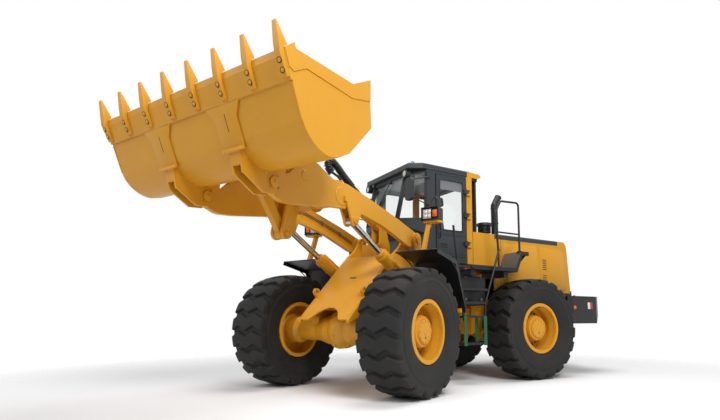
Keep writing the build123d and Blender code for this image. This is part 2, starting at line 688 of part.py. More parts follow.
def bucket_shell():
    """Shell, side plates, cutting edge, spill guards and the hangers of boom and link."""
    half = BUCKET_W / 2
    face = bucket_outline()
    outer = extrude(Pos(0, -half, 0) * face, amount=BUCKET_W, dir=(0, 1, 0))
    inner_face = offset(face, amount=-BUCKET_WALL, kind=Kind.INTERSECTION)
    inner = extrude(Pos(0, -half + BUCKET_WALL, 0) * inner_face, amount=BUCKET_W - 2 * BUCKET_WALL,
                    dir=(0, 1, 0))
    # The mouth is open along the line from lip to back
    mouth = plate([toward(LIP, BACK_TOP, 30), toward(BACK_TOP, LIP, BUCKET_WALL + 6),
                   (BACK_TOP[0] + 80, BACK_TOP[1] - 60), (LIP[0] - 80, LIP[1] - 60)],
                  -half + BUCKET_WALL, half - BUCKET_WALL)
    shell = outer - inner - mouth
    cheek = plate([LIP, SIDE_FRONT, SIDE_STEP, SIDE_REAR, GUARD_TIP, BACK_TOP], half - BUCKET_WALL, half)
    # Raised band along the side plate's free edge, and the cutter at its front corner
    band = plate([(LIP[0] - 60, LIP[1] - 150), LIP, SIDE_FRONT, SIDE_STEP, SIDE_REAR, GUARD_TIP,
                  (BACK_TOP[0], BACK_TOP[1] - 60), (SIDE_REAR[0], SIDE_REAR[1] - BAND_W),
                  (4000, SIDE_REAR[1] - BAND_W + 30), (4150, LIP[1] - 170)], half, half + BAND_T)
    cheek = cheek + band
    shell = shell + cheek + mirrored(cheek)
    # Cutting edge along the floor
    edge = plate([LIP, along_floor(LIP_L), along_floor(LIP_L, LIP_T), along_floor(60, LIP_T)], -half, half)
    shell = shell + edge
    return shell + bucket_hangers()


def along_floor(distance, out=0.0):
    """Point on the bucket's floor line, back from the lip, and out of it by an offset."""
    dx, dz = LIP[0] - FLOOR_END[0], LIP[1] - FLOOR_END[1]
    length = math.hypot(dx, dz)
    ux, uz = dx / length, dz / length
    return (LIP[0] - ux * distance + uz * out, LIP[1] - uz * distance - ux * out)


def hanger(y_low, y_high):
    """One plate of a boom hanger, from the floor's seam round the bucket's pin."""
    bx, bz = BUCKET_PIN
    outline = [along_floor(LIP_L, -8), along_floor(LIP_L, HANGER_LIFT), WRAP_BEND, WRAP_END,
               (bx + 130, bz - 135), (bx - 30, bz - 120), (bx - 115, bz - 30), (3405, 2520),
               (3460, 2560), (3700, 2560), (4000, 2760)]
    web = plate(outline, y_low, y_high) + pin(bx, bz, y_low, y_high, 240)
    return web


def wrapper(y):
    """Front plate that closes a pair of hanger plates, bent out at its lip, notched for the boom."""
    half = BOSS_T / 2 + SIDE_CLEAR + HANGER_T
    bend_x, bend_z = WRAP_BEND
    end_x, end_z = WRAP_END
    front = plate([along_floor(LIP_L, -6), along_floor(LIP_L, WRAP_T), (bend_x + 8, bend_z + 25),
                   (bend_x + 34, bend_z - 12), (bend_x + 12, bend_z - 26), (end_x + WRAP_T, end_z),
                   (end_x - 6, end_z), (bend_x - WRAP_T, bend_z)], y - half, y + half)
    notch = block((end_x - 60, end_x + 60), (y - half + HANGER_T, y + half - HANGER_T),
                  (end_z - 20, end_z + 80))
    slit = plate([along_floor(LIP_L + 60, 2), along_floor(LIP_L + 60, 40), along_floor(LIP_L + 290, 40),
                  along_floor(LIP_L + 290, 2)], y - 5, y + 5)
    return front - notch - slit


def bucket_hangers():
    """Plates behind the bucket that carry the boom's pins and the link's pin."""
    bx, bz = BUCKET_PIN
    hx, hz = LINK_HEAD
    parts = []
    gap = BOSS_T / 2 + SIDE_CLEAR
    for side in (1, -1):
        for low in (gap, -gap - HANGER_T):
            y = side * BOOM_Y + low
            parts.append(hanger(y, y + HANGER_T))
        parts.append(wrapper(side * BOOM_Y))
        reach = gap + HANGER_T + 14
        parts.append(pin(bx, bz, side * BOOM_Y - reach, side * BOOM_Y + reach, BUCKET_PIN_D))
    link_gap = LINK_T / 2 + SIDE_CLEAR
    for low in (link_gap, -link_gap - HANGER_T):
        web = plate([(hx - 70, hz + 20), (3120, 2860), (3480, 2520), (hx + 60, hz - 50), (hx - 30, hz - 75)],
                    low, low + HANGER_T)
        parts.append(web + pin(hx, hz, low, low + HANGER_T, 150))
    parts.append(pin(hx, hz, -link_gap - HANGER_T - 14, link_gap + HANGER_T + 14, LINK_PIN_D))
    return fuse(parts)


def tooth(y):
    """One-piece tooth that clasps the cutting edge, its tip beyond the lip."""

    def at(along, out):
        return along_floor(-along, out)

    back = TOOTH_REACH - TOOTH_L
    profile = [at(TOOTH_REACH, 4), at(TOOTH_REACH, -12), at(40, -46), at(20, -46), at(2, 0.3),
               at(-56, 18.3), at(back, 18.3), at(back + 12, 44), at(-40, 62), at(60, 40)]
    return plate(profile, y - TOOTH_W / 2, y + TOOTH_W / 2)


def bucket_teeth():
    """The row of teeth, the outer ones flush with the bucket's sides."""
    first = -BUCKET_W / 2 + TOOTH_W / 2
    step = (BUCKET_W - TOOTH_W) / (TOOTH_COUNT - 1)
    return [tooth(first + step * i) for i in range(TOOTH_COUNT)]


# Cylinders

def barrel(base, tip, eye_r, neck, bore_pin, diameter, length, y, eye_t, rod_d):
    """Cylinder barrel in side view, its eye at base and its gland toward tip."""
    bx, bz = base
    start = toward(base, tip, neck)
    head = toward(base, tip, length)
    gland = toward(base, tip, length + 45)
    throat = toward(base, tip, neck + 30)
    body = bar((start[0], y, start[1]), (head[0], y, head[1]), diameter)
    body = body + bar((head[0], y, head[1]), (gland[0], y, gland[1]), diameter * 0.86)
    body = body + taper(base, start, eye_r * 2, eye_r * 1.5, y - eye_t / 2, y + eye_t / 2)
    cut_end = toward(base, tip, length + 60)
    body = body - bar((throat[0], y, throat[1]), (cut_end[0], y, cut_end[1]), rod_d + 2 * SEAT_GAP)
    return body - pin(bx, bz, y - diameter, y + diameter, bore_pin + 2 * PIN_CLEAR)


def ram(base, tip, eye_r, diameter, length, reach_in, y, eye_t, hole):
    """Cylinder rod with its eye at tip, reaching back into the barrel."""
    tx, tz = tip
    start = toward(base, tip, length - reach_in)
    rod = bar((start[0], y, start[1]), (tx, y, tz), diameter)
    rod = rod + pin(tx, tz, y - eye_t / 2, y + eye_t / 2, eye_r * 2)
    return rod - pin(tx, tz, y - eye_t, y + eye_t, hole)


def lift_cylinders():
    """Barrels and rods of the two lift cylinders."""
    tube = barrel(LIFT_BASE, LIFT_EYE, 78, 90, LIFT_PIN_D, LIFT_BARREL_D, LIFT_BARREL_L, BOOM_Y,
                  BOSS_T - 16, LIFT_ROD_D)
    rod = ram(LIFT_BASE, LIFT_EYE, LIFT_EYE_R, LIFT_ROD_D, LIFT_BARREL_L, LIFT_REACH_IN, BOOM_Y,
              BOSS_T - 28, 70)
    return pair(tube), pair(rod)


def tilt_cylinder():
    """Barrel and rod of the tilt cylinder on the middle plane."""
    tube = barrel(TILT_BASE, CRANK_HEAD, TILT_EYE_R, 165, TILT_PIN_D, TILT_BARREL_D, TILT_BARREL_L, 0,
                  LINK_T, TILT_ROD_D)
    rod = ram(TILT_BASE, CRANK_HEAD, TILT_EYE_R, TILT_ROD_D, TILT_BARREL_L, TILT_REACH_IN, 0, LINK_T, 78)
    return tube, rod


def steered(x, y):
    """Place of a point of the front half, seen from the rear half."""
    turn = math.radians(STEER_ANGLE)
    return (x * math.cos(turn) - y * math.sin(turn), x * math.sin(turn) + y * math.cos(turn))


def steer_cylinder(side):
    """Barrel and rod of one steering cylinder, in the rear half's frame."""
    bx, by = STEER_REAR[0], side * STEER_REAR[1]
    tx, ty = steered(STEER_FRONT[0], side * STEER_FRONT[1])
    length = math.hypot(tx - bx, ty - by)
    ux, uy = (tx - bx) / length, (ty - by) / length

    def at(distance):
        return (bx + ux * distance, by + uy * distance, STEER_Z)
    eye_t = 2 * (STEER_EYE_R - 14)
    barrel_l = 560.0
    tube = bar(at(35), at(barrel_l), STEER_BORE_D)
    tube = tube + post(bx, by, STEER_Z - eye_t / 2, STEER_Z + eye_t / 2, STEER_EYE_R * 2)
    tube = tube - bar(at(70), at(barrel_l + 10), STEER_ROD_D + 2 * SEAT_GAP)
    tube = tube - post(bx, by, STEER_Z - 80, STEER_Z + 80, STEER_PIN_D + 2 * PIN_CLEAR)
    for low, high in ((eye_t / 2, 80), (-80, -eye_t / 2)):
        tube = tube - block((bx - 60, bx + 60), (by - 60, by + 60), (STEER_Z + low, STEER_Z + high))
    rod = bar(at(length - 700 if side < 0 else 150), at(length), STEER_ROD_D)
    rod = rod + post(tx, ty, STEER_Z - eye_t / 2, STEER_Z + eye_t / 2, STEER_EYE_R * 2)
    rod = rod - post(tx, ty, STEER_Z - 80, STEER_Z + 80, STEER_PIN_D)
    return tube, rod


# Rear frame

def rear_frame():
    """Rear chassis: rails, bulkhead, hinge forks with their pins, cab posts and outriggers."""
    parts = []
    low, high = RAIL_Z
    for side in (1, -1):
        front = block((-300, RAIL_JOG_X - 20), (side * (RAIL_Y_FRONT - RAIL_T), side * RAIL_Y_FRONT),
                      (low - 60, UPPER_HINGE_Z + 60))
        rear = plate([(RAIL_JOG_X, low - 60), (RAIL_JOG_X, UPPER_HINGE_Z + 60), (-1250, high),
                      (HOOD_PIVOT[0] - 60, high), (RAIL_END_X, high - 60), (RAIL_END_X, low + 120),
                      (-2050, low + 120), (-1880, 1000), (-1420, 1000), (-1250, low)],
                     min(side * (RAIL_Y_REAR - RAIL_T), side * RAIL_Y_REAR),
                     max(side * (RAIL_Y_REAR - RAIL_T), side * RAIL_Y_REAR))
        parts += [front, rear]
        # Steering cylinder's rear lugs and pin
        sx, sy = STEER_REAR[0], side * STEER_REAR[1]
        eye_half = STEER_EYE_R - 14
        for z in (eye_half + SIDE_CLEAR, -eye_half - SIDE_CLEAR - 26):
            lug = level_plate([(-1000, side * (RAIL_Y_FRONT - 20)), (-700, side * (RAIL_Y_FRONT - 20)),
                               (sx + 50, sy), (sx - 90, sy)], STEER_Z + z, STEER_Z + z + 26)
            parts.append(lug + post(sx, sy, STEER_Z + z, STEER_Z + z + 26, 110))
        parts.append(post(sx, sy, STEER_Z - 70, STEER_Z + 70, STEER_PIN_D))
        # Cab posts and outriggers that carry cab, walkway and side boxes
        for x in (-400, -1080):
            y_in = side * (RAIL_Y_FRONT - RAIL_T) if x > RAIL_JOG_X else side * (RAIL_Y_REAR - RAIL_T)
            parts.append(block((x - 45, x + 45), (y_in, y_in + side * 90), (high - 40, CAB_FLOOR_Z)))
            parts.append(block((x - 45, x + 45), (y_in, side * (WALK_OUT - 60)),
                               (WALK_Z - WALK_T - 90, WALK_Z - WALK_T)))
        hx, hz = HOOD_PIVOT
        ear = plate([(hx - 45, high - 60), (hx + 45, high - 60), (hx + 40, hz), (hx - 40, hz)],
                    min(side * (RAIL_Y_REAR - RAIL_T), side * RAIL_Y_REAR),
                    max(side * (RAIL_Y_REAR - RAIL_T), side * RAIL_Y_REAR))
        y_a, y_b = sorted((side * (RAIL_Y_REAR - RAIL_T), side * RAIL_Y_REAR))
        parts.append(ear + pin(hx, hz, y_a, y_b, 80))
        y_a, y_b = sorted((side * (RAIL_Y_REAR - 10), side * (RAIL_Y_REAR + 60)))
        parts.append(pin(hx, hz, y_a, y_b, HOOD_PIN_D))
    y_in = RAIL_Y_FRONT - 4
    parts.append(block((-340, -300), (-y_in, y_in), (low - 60, UPPER_HINGE_Z + 60)))
    parts.append(block((RAIL_JOG_X - 20, RAIL_JOG_X), (-RAIL_Y_REAR, RAIL_Y_REAR),
                       (low - 60, UPPER_HINGE_Z + 60)))
    parts.append(block((-1880, -1420), (-RAIL_Y_REAR + 5, RAIL_Y_REAR - 5),
                       (REAR_DECK_Z, REAR_DECK_Z + DECK_T)))
    parts.append(block((-2900, -2850), (-RAIL_Y_REAR + 5, RAIL_Y_REAR - 5), (low + 160, high - 10)))
    lap = HINGE_PLATE_T / 2 + HINGE_LAP
    for z in (UPPER_HINGE_Z, LOWER_HINGE_Z):
        for fork in hinge_plate(z, 330, 240, [lap, -lap - HINGE_PLATE_T]):
            parts.append(mirror(fork, about=Plane.YZ))
        reach = lap + HINGE_PLATE_T
        parts.append(post(0, 0, z - reach - 15, z + reach + 15, HINGE_PIN_D))
    return fuse(parts)


def rear_axle():
    """Rear axle with the pads of its cradle."""
    pads = block((-AXLE_X - 150, -AXLE_X + 150), (-150, 150), (WHEEL_R, REAR_DECK_Z))
    return Pos(-AXLE_X, 0, WHEEL_R) * axle() + pads


def engine():
    """Engine and gearbox as one plain block at their real place."""
    return block((-2480, -1330), (-380, 380), (REAR_DECK_Z + DECK_T, 1950))


def counterweight():
    """Cast counterweight that wraps the frame's end, with the tow pin's hole."""
    low, high = WEIGHT_Z
    front, rear = WEIGHT_X
    y_in = RAIL_Y_REAR + SEAT_GAP
    plan = [(front, y_in), (front, WEIGHT_Y - 60), (front - 60, WEIGHT_Y), (-3270, WEIGHT_Y),
            (rear, 1000), (rear, -1000), (-3270, -WEIGHT_Y), (front - 60, -WEIGHT_Y),
            (front, -WEIGHT_Y + 60), (front, -y_in), (RAIL_END_X, -y_in), (RAIL_END_X, y_in)]
    body = level_plate(plan, low, high)
    # Undercut at the rear and the notch for the tow bar
    for side in (1, -1):
        y_a, y_b = sorted((side * 220, side * WEIGHT_Y))
        body = body - plate([(rear - 10, low - 10), (rear + 330, low - 10), (rear - 10, low + 150)], y_a, y_b)
    body = body - block((rear - 10, rear + 150), (-130, 130), (1010, 1120))
    body = body - post(rear + 75, 0, low - 10, high + 10, TOW_PIN_D)
    top = block((rear + 180, -3180), (-560, 560), (high, high + 130))
    return body + top


# Cab

def cab_frame():
    """Front part of the cab: floor, sills, door posts, nose and the slim front pillars."""
    wall = CAB_WALL
    z0, z1 = CAB_FLOOR_Z, CAB_TOP_Z
    parts = [block((CAB_REAR_X, CAB_FRONT_X), (-CAB_Y, CAB_Y), (z0, z0 + wall))]
    parts.append(block((CAB_REAR_X, CAB_FRONT_X), (-CAB_Y, -CAB_Y + wall), (z0, CAB_SILL_Z)))
    parts.append(block((CAB_FRONT_X - wall, CAB_FRONT_X), (-CAB_Y, CAB_Y), (z0, CAB_SILL_Z)))
    parts.append(block((CAB_REAR_X, CAB_FRONT_X), (CAB_Y - wall, CAB_Y), (z0, DOOR_Z[0] - DOOR_GAP)))
    for side in (1, -1):
        y_a, y_b = sorted((side * (CAB_Y - 60), side * CAB_Y))
        parts.append(block((CAB_FRONT_X - 170, CAB_FRONT_X), (y_a, y_b), (z0, z1)))
        # Header over the door or the side window
        parts.append(block((CAB_REAR_X, CAB_FRONT_X), (y_a, y_b), (DOOR_Z[1] + DOOR_GAP, z1)))
        # Slim front pillar from the nose to the roof
        parts.append(slanted_post((NOSE_X - 25, side * (NOSE_Y - 25), NOSE_Z - 20),
                                  (BROW_X - 25, side * (NOSE_Y - 5), z1 - 5), 50))
    # Nose panel below the windscreen, with its floor
    plan = [(CAB_FRONT_X - 20, CAB_Y - 5), (NOSE_X, NOSE_Y), (NOSE_X, -NOSE_Y),
            (CAB_FRONT_X - 20, -CAB_Y + 5)]
    inner = [(CAB_FRONT_X - 60, CAB_Y - 40), (NOSE_X - 35, NOSE_Y - 18), (NOSE_X - 35, -NOSE_Y + 18),
             (CAB_FRONT_X - 60, -CAB_Y + 40)]
    nose = level_plate(plan, CAB_SILL_Z - 20, NOSE_Z) - level_plate(inner, CAB_SILL_Z + 20, NOSE_Z + 5)
    # The nose's underside rises so that the front frame can turn beneath it
    wedge = plate([(CAB_FRONT_X + 1, CAB_SILL_Z - 30), (NOSE_X + 20, CAB_SILL_Z - 30),
                   (NOSE_X + 20, NOSE_Z - 60)], -CAB_Y, CAB_Y)
    parts.append(nose - wedge)
    brow = [(CAB_FRONT_X - 20, CAB_Y - 5), (BROW_X, NOSE_Y + 20), (BROW_X, -NOSE_Y - 20),
            (CAB_FRONT_X - 20, -CAB_Y + 5)]
    brow_in = [(CAB_FRONT_X - 80, CAB_Y - 70), (BROW_X - 60, NOSE_Y - 20), (BROW_X - 60, -NOSE_Y + 20),
               (CAB_FRONT_X - 80, -CAB_Y + 70)]
    parts.append(level_plate(brow, z1 - 50, z1) - level_plate(brow_in, z1 - 60, z1 + 10))
    return fuse(parts)


def slanted_post(foot, head, width):
    """Square post between two points, its ends level."""
    low = Pos(*foot) * Rectangle(width, width)
    high = Pos(*head) * Rectangle(width, width)
    return loft([low, high])


def cab_rear():
    """Rear part of the cab: rear pillars, back wall and the cowl ahead of the hood."""
    wall = CAB_WALL
    z0, z1 = CAB_FLOOR_Z, CAB_TOP_Z
    x0 = CAB_REAR_X - SEAT_GAP
    deck = HOOD_TOP_Z - 15
    parts = [block((CAB_BACK_X, x0), (-CAB_Y, CAB_Y), (z0, z0 + wall))]
    for side in (1, -1):
        y_a, y_b = sorted((side * (CAB_Y - 60), side * CAB_Y))
        parts.append(block((PILLAR_C_X, x0), (y_a, y_b), (z0, z1)))
        y_a, y_b = sorted((side * (HOOD_Y - wall), side * (HOOD_Y + 10)))
        parts.append(block((COWL_X + DOOR_GAP, PILLAR_C_X + 20), (y_a, y_b), (z0, deck)))
        y_a, y_b = sorted((side * 680, side * 740))
        parts.append(block((CAB_BACK_X, CAB_BACK_X + wall), (y_a, y_b), (deck - 10, z1)))
        parts.append(block((CAB_BACK_X, x0), (y_a, side * 770), (z1 - 45, z1)))
    parts.append(block((CAB_BACK_X, CAB_BACK_X + wall), (-HOOD_Y, HOOD_Y), (z0, deck)))
    parts.append(block((CAB_BACK_X, CAB_BACK_X + wall), (-740, 740), (z1 - 60, z1)))
    parts.append(block((COWL_X + DOOR_GAP, CAB_BACK_X + 10), (-HOOD_Y, HOOD_Y), (deck - wall, deck)))
    return fuse(parts + door_hinge_brackets())


def cab_roof():
    """Roof with rounded edges, wider than the cab's pillars."""
    outline = [(CAB_REAR_X - 20, CAB_Y), (CAB_FRONT_X + 60, CAB_Y), (ROOF_FRONT_X, CAB_Y - 130),
               (ROOF_FRONT_X, -CAB_Y + 130), (CAB_FRONT_X + 60, -CAB_Y), (CAB_REAR_X - 20, -CAB_Y)]
    roof = level_plate(outline, CAB_TOP_Z, CAB_TOP_Z + ROOF_T)
    return fillet(roof.faces().sort_by(Axis.Z)[-1].edges(), 30)


def roof_visor():
    """Rear visor of the roof."""
    x0 = CAB_REAR_X - 20 - SEAT_GAP
    return plate([(x0, CAB_TOP_Z), (x0, CAB_TOP_Z + 95), (VISOR_X + 30, CAB_TOP_Z + 75),
                  (VISOR_X, CAB_TOP_Z + 30), (VISOR_X + 60, CAB_TOP_Z)], -CAB_Y, CAB_Y)


def cab_door():
    """Left door with its window cut and its hinge knuckles."""
    x0, x1 = DOOR_X
    z0, z1 = DOOR_Z
    y0, y1 = CAB_Y - DOOR_T + 4, CAB_Y + 4
    leaf = block((x0, x1), (y0, y1), (z0, z1))
    window = block((x0 + 70, x1 - 70), (y0 - 1, y1 + 1), (CAB_SILL_Z + 60, z1 - 70))
    window = fillet(window.edges().filter_by(Axis.Y), 40)
    leaf = leaf - window
    hx, hy = DOOR_HINGE
    for z in KNUCKLE_Z:
        low, high = z - KNUCKLE_L / 2, z + KNUCKLE_L / 2
        knuckle = post(hx, hy, low, high, KNUCKLE_D) + block((hx, x0 + 60), (y1 - 5, hy + 6), (low, high))
        leaf = leaf + (knuckle - post(hx, hy, low - 1, high + 1, DOOR_PIN_D + 2 * PIN_CLEAR))
    return leaf


def door_hinge_brackets():
    """Brackets and pins on the rear door post that the door's knuckles turn on."""
    hx, hy = DOOR_HINGE
    brackets = []
    for z in KNUCKLE_Z:
        pin_z = KNUCKLE_L / 2 + SEAT_GAP + 20
        bracket = post(hx, hy, z - pin_z, z + pin_z, DOOR_PIN_D)
        for low in (-pin_z, pin_z - 20):
            bracket = bracket + post(hx, hy, z + low, z + low + 20, KNUCKLE_D)
            bracket = bracket + block((hx - 70, hx), (CAB_Y - 5, hy + 10), (z + low, z + low + 20))
        brackets.append(bracket)
    return brackets


def door_glass():
    """Pane of the left door."""
    x0, x1 = DOOR_X
    y = CAB_Y - DOOR_T / 2 + 4
    pane = block((x0 + 70.2, x1 - 70.2), (y - GLASS_T / 2, y + GLASS_T / 2),
                 (CAB_SILL_Z + 60.2, DOOR_Z[1] - 70.2))
    return fillet(pane.edges().filter_by(Axis.Y), 39.8)


def cab_glass():
    """Fixed panes: windscreen, corner panes, right window and rear window."""
    z0, z1 = NOSE_Z, CAB_TOP_Z - 50
    panes = []
    half_low, half_high = NOSE_Y - 51, NOSE_Y - 36
    low = [(NOSE_X - 22, half_low, z0), (NOSE_X - 22, -half_low, z0)]
    high = [(BROW_X - 20, -half_high, z1), (BROW_X - 20, half_high, z1)]
    face = make_face(Polyline(*low, *high, close=True))
    panes.append(extrude(face, amount=GLASS_T, dir=(-1, 0, 0)))
    # Corner panes, twisted between the nose and the brow
    foot = Edge.make_line((CAB_FRONT_X + 2, -CAB_Y + 32, z0 + PANE_GAP),
                          (NOSE_X - 32, -NOSE_Y - 4, z0 + PANE_GAP))
    head = Edge.make_line((CAB_FRONT_X + 2, -CAB_Y + 35, z1 - PANE_GAP),
                          (BROW_X - 26, -NOSE_Y - 24, z1 - PANE_GAP))
    corner = Solid.thicken(Face.make_surface_from_curves(foot, head), GLASS_T)
    panes += [corner, mirrored(corner)]
    x0, x1 = CAB_REAR_X + 0.5, CAB_FRONT_X - 170.5
    panes.append(block((x0, x1), (-CAB_Y + 17, -CAB_Y + 23), (CAB_SILL_Z + 0.2, DOOR_Z[1] + DOOR_GAP - 0.2)))
    panes.append(block((CAB_BACK_X + 17, CAB_BACK_X + 23), (-679.8, 679.8),
                       (HOOD_TOP_Z - 14.8, CAB_TOP_Z - 60.2)))
    return panes


def cab_inside():
    """Seat pedestal, side console and steering column with its wheel."""
    z = CAB_FLOOR_Z + CAB_WALL
    base = block((-520, -130), (-230, 230), (z, z + 330))
    console = block((-560, 0), (-560, -300), (z, z + 560))
    shelf = block((-520, -200), (-310, -220), (z, z + 120))
    column = bar((95, 0, z + 60), (40, 0, z + 620), 80)
    foot = block((50, 158), (-100, 100), (z, z + 300))
    seat = base + shelf + console
    axis = Vector(-170, 0, 560).normalized()
    rim_plane = Plane(origin=(40, 0, z + 620), z_dir=axis)
    wheel = rim_plane * Torus(190, 16)
    spokes = [rim_plane * Box(360, 26, 12), rim_plane * Box(26, 360, 12)]
    return seat, fuse([column, foot, wheel] + spokes)


def seat_cushions():
    """Plain solids of the seat's cushion and backrest."""
    z = CAB_FLOOR_Z + CAB_WALL + 330
    cushion = block((-500, -20), (-250, 250), (z + 0.3, z + 120))
    back = plate([(-520, z + 120.3), (-400, z + 120.3), (-500, z + 700), (-600, z + 700)], -230, 230)
    return [cushion, back]


# Hood

def hood_outer(wall):
    """Hood as a full solid, drawn in by a wall."""
    top_x, top_z = HOOD_REAR_TOP
    return plate([(COWL_X, HOOD_LOW_Z), (COWL_X, HOOD_TOP_Z - wall),
                  (top_x + 60 + wall, HOOD_TOP_Z - 10 - wall), (top_x + wall, top_z - wall / 2),
                  (HOOD_REAR_LOW_X + wall, HOOD_LOW_Z)], -HOOD_Y + wall, HOOD_Y - wall)


def hood():
    """Tilting hood with its open rear for the grille, and its pivot ears."""
    shell = hood_outer(0) - Pos(0, 0, -1) * hood_outer(HOOD_WALL)
    cap = block((COWL_X + 1, CAP_REAR_X), (-HOOD_Y - 1, HOOD_Y + 1), (CAP_LOW_Z, HOOD_TOP_Z + 5))
    shell = shell - cap
    grille = block((HOOD_REAR_LOW_X - 10, HOOD_REAR_TOP[0] + 120), (-560, 560), (1640, 2180))
    shell = shell - grille
    hx, hz = HOOD_PIVOT
    ears = block((HOOD_REAR_LOW_X - 10, hx), (-RAIL_Y_REAR - SIDE_CLEAR, RAIL_Y_REAR + SIDE_CLEAR),
                 (HOOD_LOW_Z - 10, hz + EAR_SWEEP))
    shell = shell - ears
    for side in (1, -1):
        y_a, y_b = sorted((side * (RAIL_Y_REAR + 8), side * (RAIL_Y_REAR + 38)))
        ear = plate([(hx - 60, hz - 60), (hx + 60, hz - 60), (hx + 60, hz + 80), (hx - 60, hz + 80)],
                    y_a, y_b) - pin(hx, hz, y_a - 1, y_b + 1, HOOD_PIN_D + 2 * PIN_CLEAR)
        shell = shell + ear
    return shell


def hood_cap():
    """Dark top panel of the hood, bent down at both sides."""
    cap = block((COWL_X, CAP_REAR_X + SEAT_GAP), (-HOOD_Y, HOOD_Y), (CAP_LOW_Z, HOOD_TOP_Z))
    cap = fillet(cap.edges().filter_by(Axis.X).group_by(Axis.Z)[-1], 30)
    return cap - block((COWL_X - 1, CAP_REAR_X + 60), (-HOOD_Y + HOOD_WALL, HOOD_Y - HOOD_WALL),
                       (CAP_LOW_Z - 1, HOOD_TOP_Z - HOOD_WALL))


def rear_face_x(z):
    """X of the hood's rear face at a height."""
    top_x, top_z = HOOD_REAR_TOP
    return top_x + (z - top_z) * (HOOD_REAR_LOW_X - top_x) / (HOOD_LOW_Z - top_z)


def radiator_grille():
    """Slatted grille in the hood's rear."""

    def slab(z_low, z_high, y, depth_out, depth_in):
        low, high = rear_face_x(z_low), rear_face_x(z_high)
        return plate([(low + depth_out, z_low), (high + depth_out, z_high), (high + depth_in, z_high),
                      (low + depth_in, z_low)], -y, y)
    frame = slab(1640.2, 2179.8, 559.8, 4, 36) - slab(1680, 2140, 520, 0, 40)
    count = 9
    for i in range(count):
        z = 1680 + (2140 - 1680) * (i + 0.5) / count
        frame = frame + slab(z - 12, z + 12, 525, 8, 30)
    return frame


def exhaust():
    """Exhaust stack with its cut tip."""
    x, y = EXHAUST
    z0 = HOOD_TOP_Z
    r = EXHAUST_D / 2
    low = post(x, y, z0, z0 + 60, EXHAUST_D * 1.4)
    pipe = bar((x, y, z0), (x, y, EXHAUST_TOP_Z), EXHAUST_D)
    tip = bar((x, y, EXHAUST_TOP_Z - 10), (x - 110, y, EXHAUST_TOP_Z + 170), EXHAUST_D)
    knee = Pos(x, y, EXHAUST_TOP_Z - 8) * Sphere(r)
    whole = fuse([low, pipe, tip, knee])
    bore = bar((x - 20, y, EXHAUST_TOP_Z + 20), (x - 130, y, EXHAUST_TOP_Z + 203), EXHAUST_D - 14)
    return whole - bore


def pre_cleaner():
    """Air intake with its mushroom cap."""
    x, y = CLEANER
    z = HOOD_TOP_Z
    body = post(x, y, z, z + 250, CLEANER_D)
    cap = post(x, y, z + 250, z + 300, CLEANER_D * 1.45)
    return body + fillet(cap.edges().group_by(Axis.Z)[-1], 20)


# Walkways, ladders, rails

def walkway():
    """Left walkway above the ladder, its rear end bent up over the wheel."""
    top = [(WALK_FRONT_X, WALK_Z), (WALK_BEND_X, WALK_Z), (WALK_TAIL_X, WALK_TAIL_Z),
           (WALK_END_X, WALK_TAIL_Z)]
    low = [(WALK_END_X, WALK_TAIL_Z - WALK_T), (WALK_TAIL_X - 20, WALK_TAIL_Z - WALK_T),
           (WALK_BEND_X - 32, WALK_Z - WALK_T), (WALK_FRONT_X, WALK_Z - WALK_T)]
    return plate(top + low, WALK_IN, WALK_OUT)


def at_height(line, z):
    """X of a post's line at a height."""
    for (xa, za), (xb, zb) in zip(line, line[1:]):
        if zb <= z <= za:
            return xb + (xa - xb) * (z - zb) / (za - zb)
    return line[-1][0]


def ladder():
    """Left ladder: two posts with their steps, fixed to the walkway, and the loose lowest step."""
    y = WALK_OUT + RAIL_D / 2
    (front_top, front_low), rear = LADDER_FRONT, LADDER_REAR
    parts = [bar((front_top[0], y, front_top[1]), (front_low[0], y, front_low[1]), RAIL_D)]
    parts.append(bent_bar([(x, y, z) for x, z in rear], RAIL_D, 150))
    for z in STEP_Z:
        x_a, x_b = at_height(LADDER_FRONT, z), at_height(rear, z)
        tread = block((x_a, x_b), (y - STEP_DEPTH, y + RAIL_D / 2), (z - 15, z + 15))
        parts.append(tread - block((x_a - 45, x_b + 45), (y - 145, y - 20), (z - 5, z + 16)))
    # Brackets from the posts to the walkway's edge
    front_x, rear_x = at_height(LADDER_FRONT, WALK_Z - 30), at_height(rear, WALK_Z - 30)
    for x_a, x_b in ((WALK_FRONT_X - 60, front_x + 20), (rear_x - 20, rear_x + 20)):
        parts.append(block((x_a, x_b), (WALK_OUT, y + 12), (WALK_Z - 50, WALK_Z - 10)))
    x_a, x_b = at_height(LADDER_FRONT, 0), at_height(rear, 0)
    low = block((x_a + 30, x_b - 30), (y - STEP_DEPTH, y + RAIL_D / 2), (LOW_STEP_Z - 15, LOW_STEP_Z + 15))
    low = low - block((x_a - 15, x_b + 15), (y - 145, y - 20), (LOW_STEP_Z - 5, LOW_STEP_Z + 16))
    return [fuse(parts), low]


def step_straps():
    """Rubber straps that hang the left ladder's lowest step from the step above it."""
    y = WALK_OUT + RAIL_D / 2
    straps = []
    for x in (at_height(LADDER_FRONT, 0) - 10, at_height(LADDER_REAR, 0) + 10):
        for y_in in (y + RAIL_D / 2 + SEAT_GAP, y - STEP_DEPTH - STRAP_T - SEAT_GAP):
            straps.append(block((x - STRAP_W / 2, x + STRAP_W / 2), (y_in, y_in + STRAP_T),
                                (LOW_STEP_Z - 25, STEP_Z[-1] + 12)))
    return straps


def handrail():
    """Left handrail round the walkway's rear."""
    y = WALK_OUT - 60
    hoop = bent_bar([(-930, y, WALK_Z), (-930, y, 2010), (-880, y, 2640), (-1000, y, 2845),
                     (-1400, y, 2860), (-1400, y, WALK_TAIL_Z)], RAIL_D, 60)
    mid = bar((-905, y, 2330), (-1400, y, 2330), RAIL_D * 0.8)
    return hoop + mid


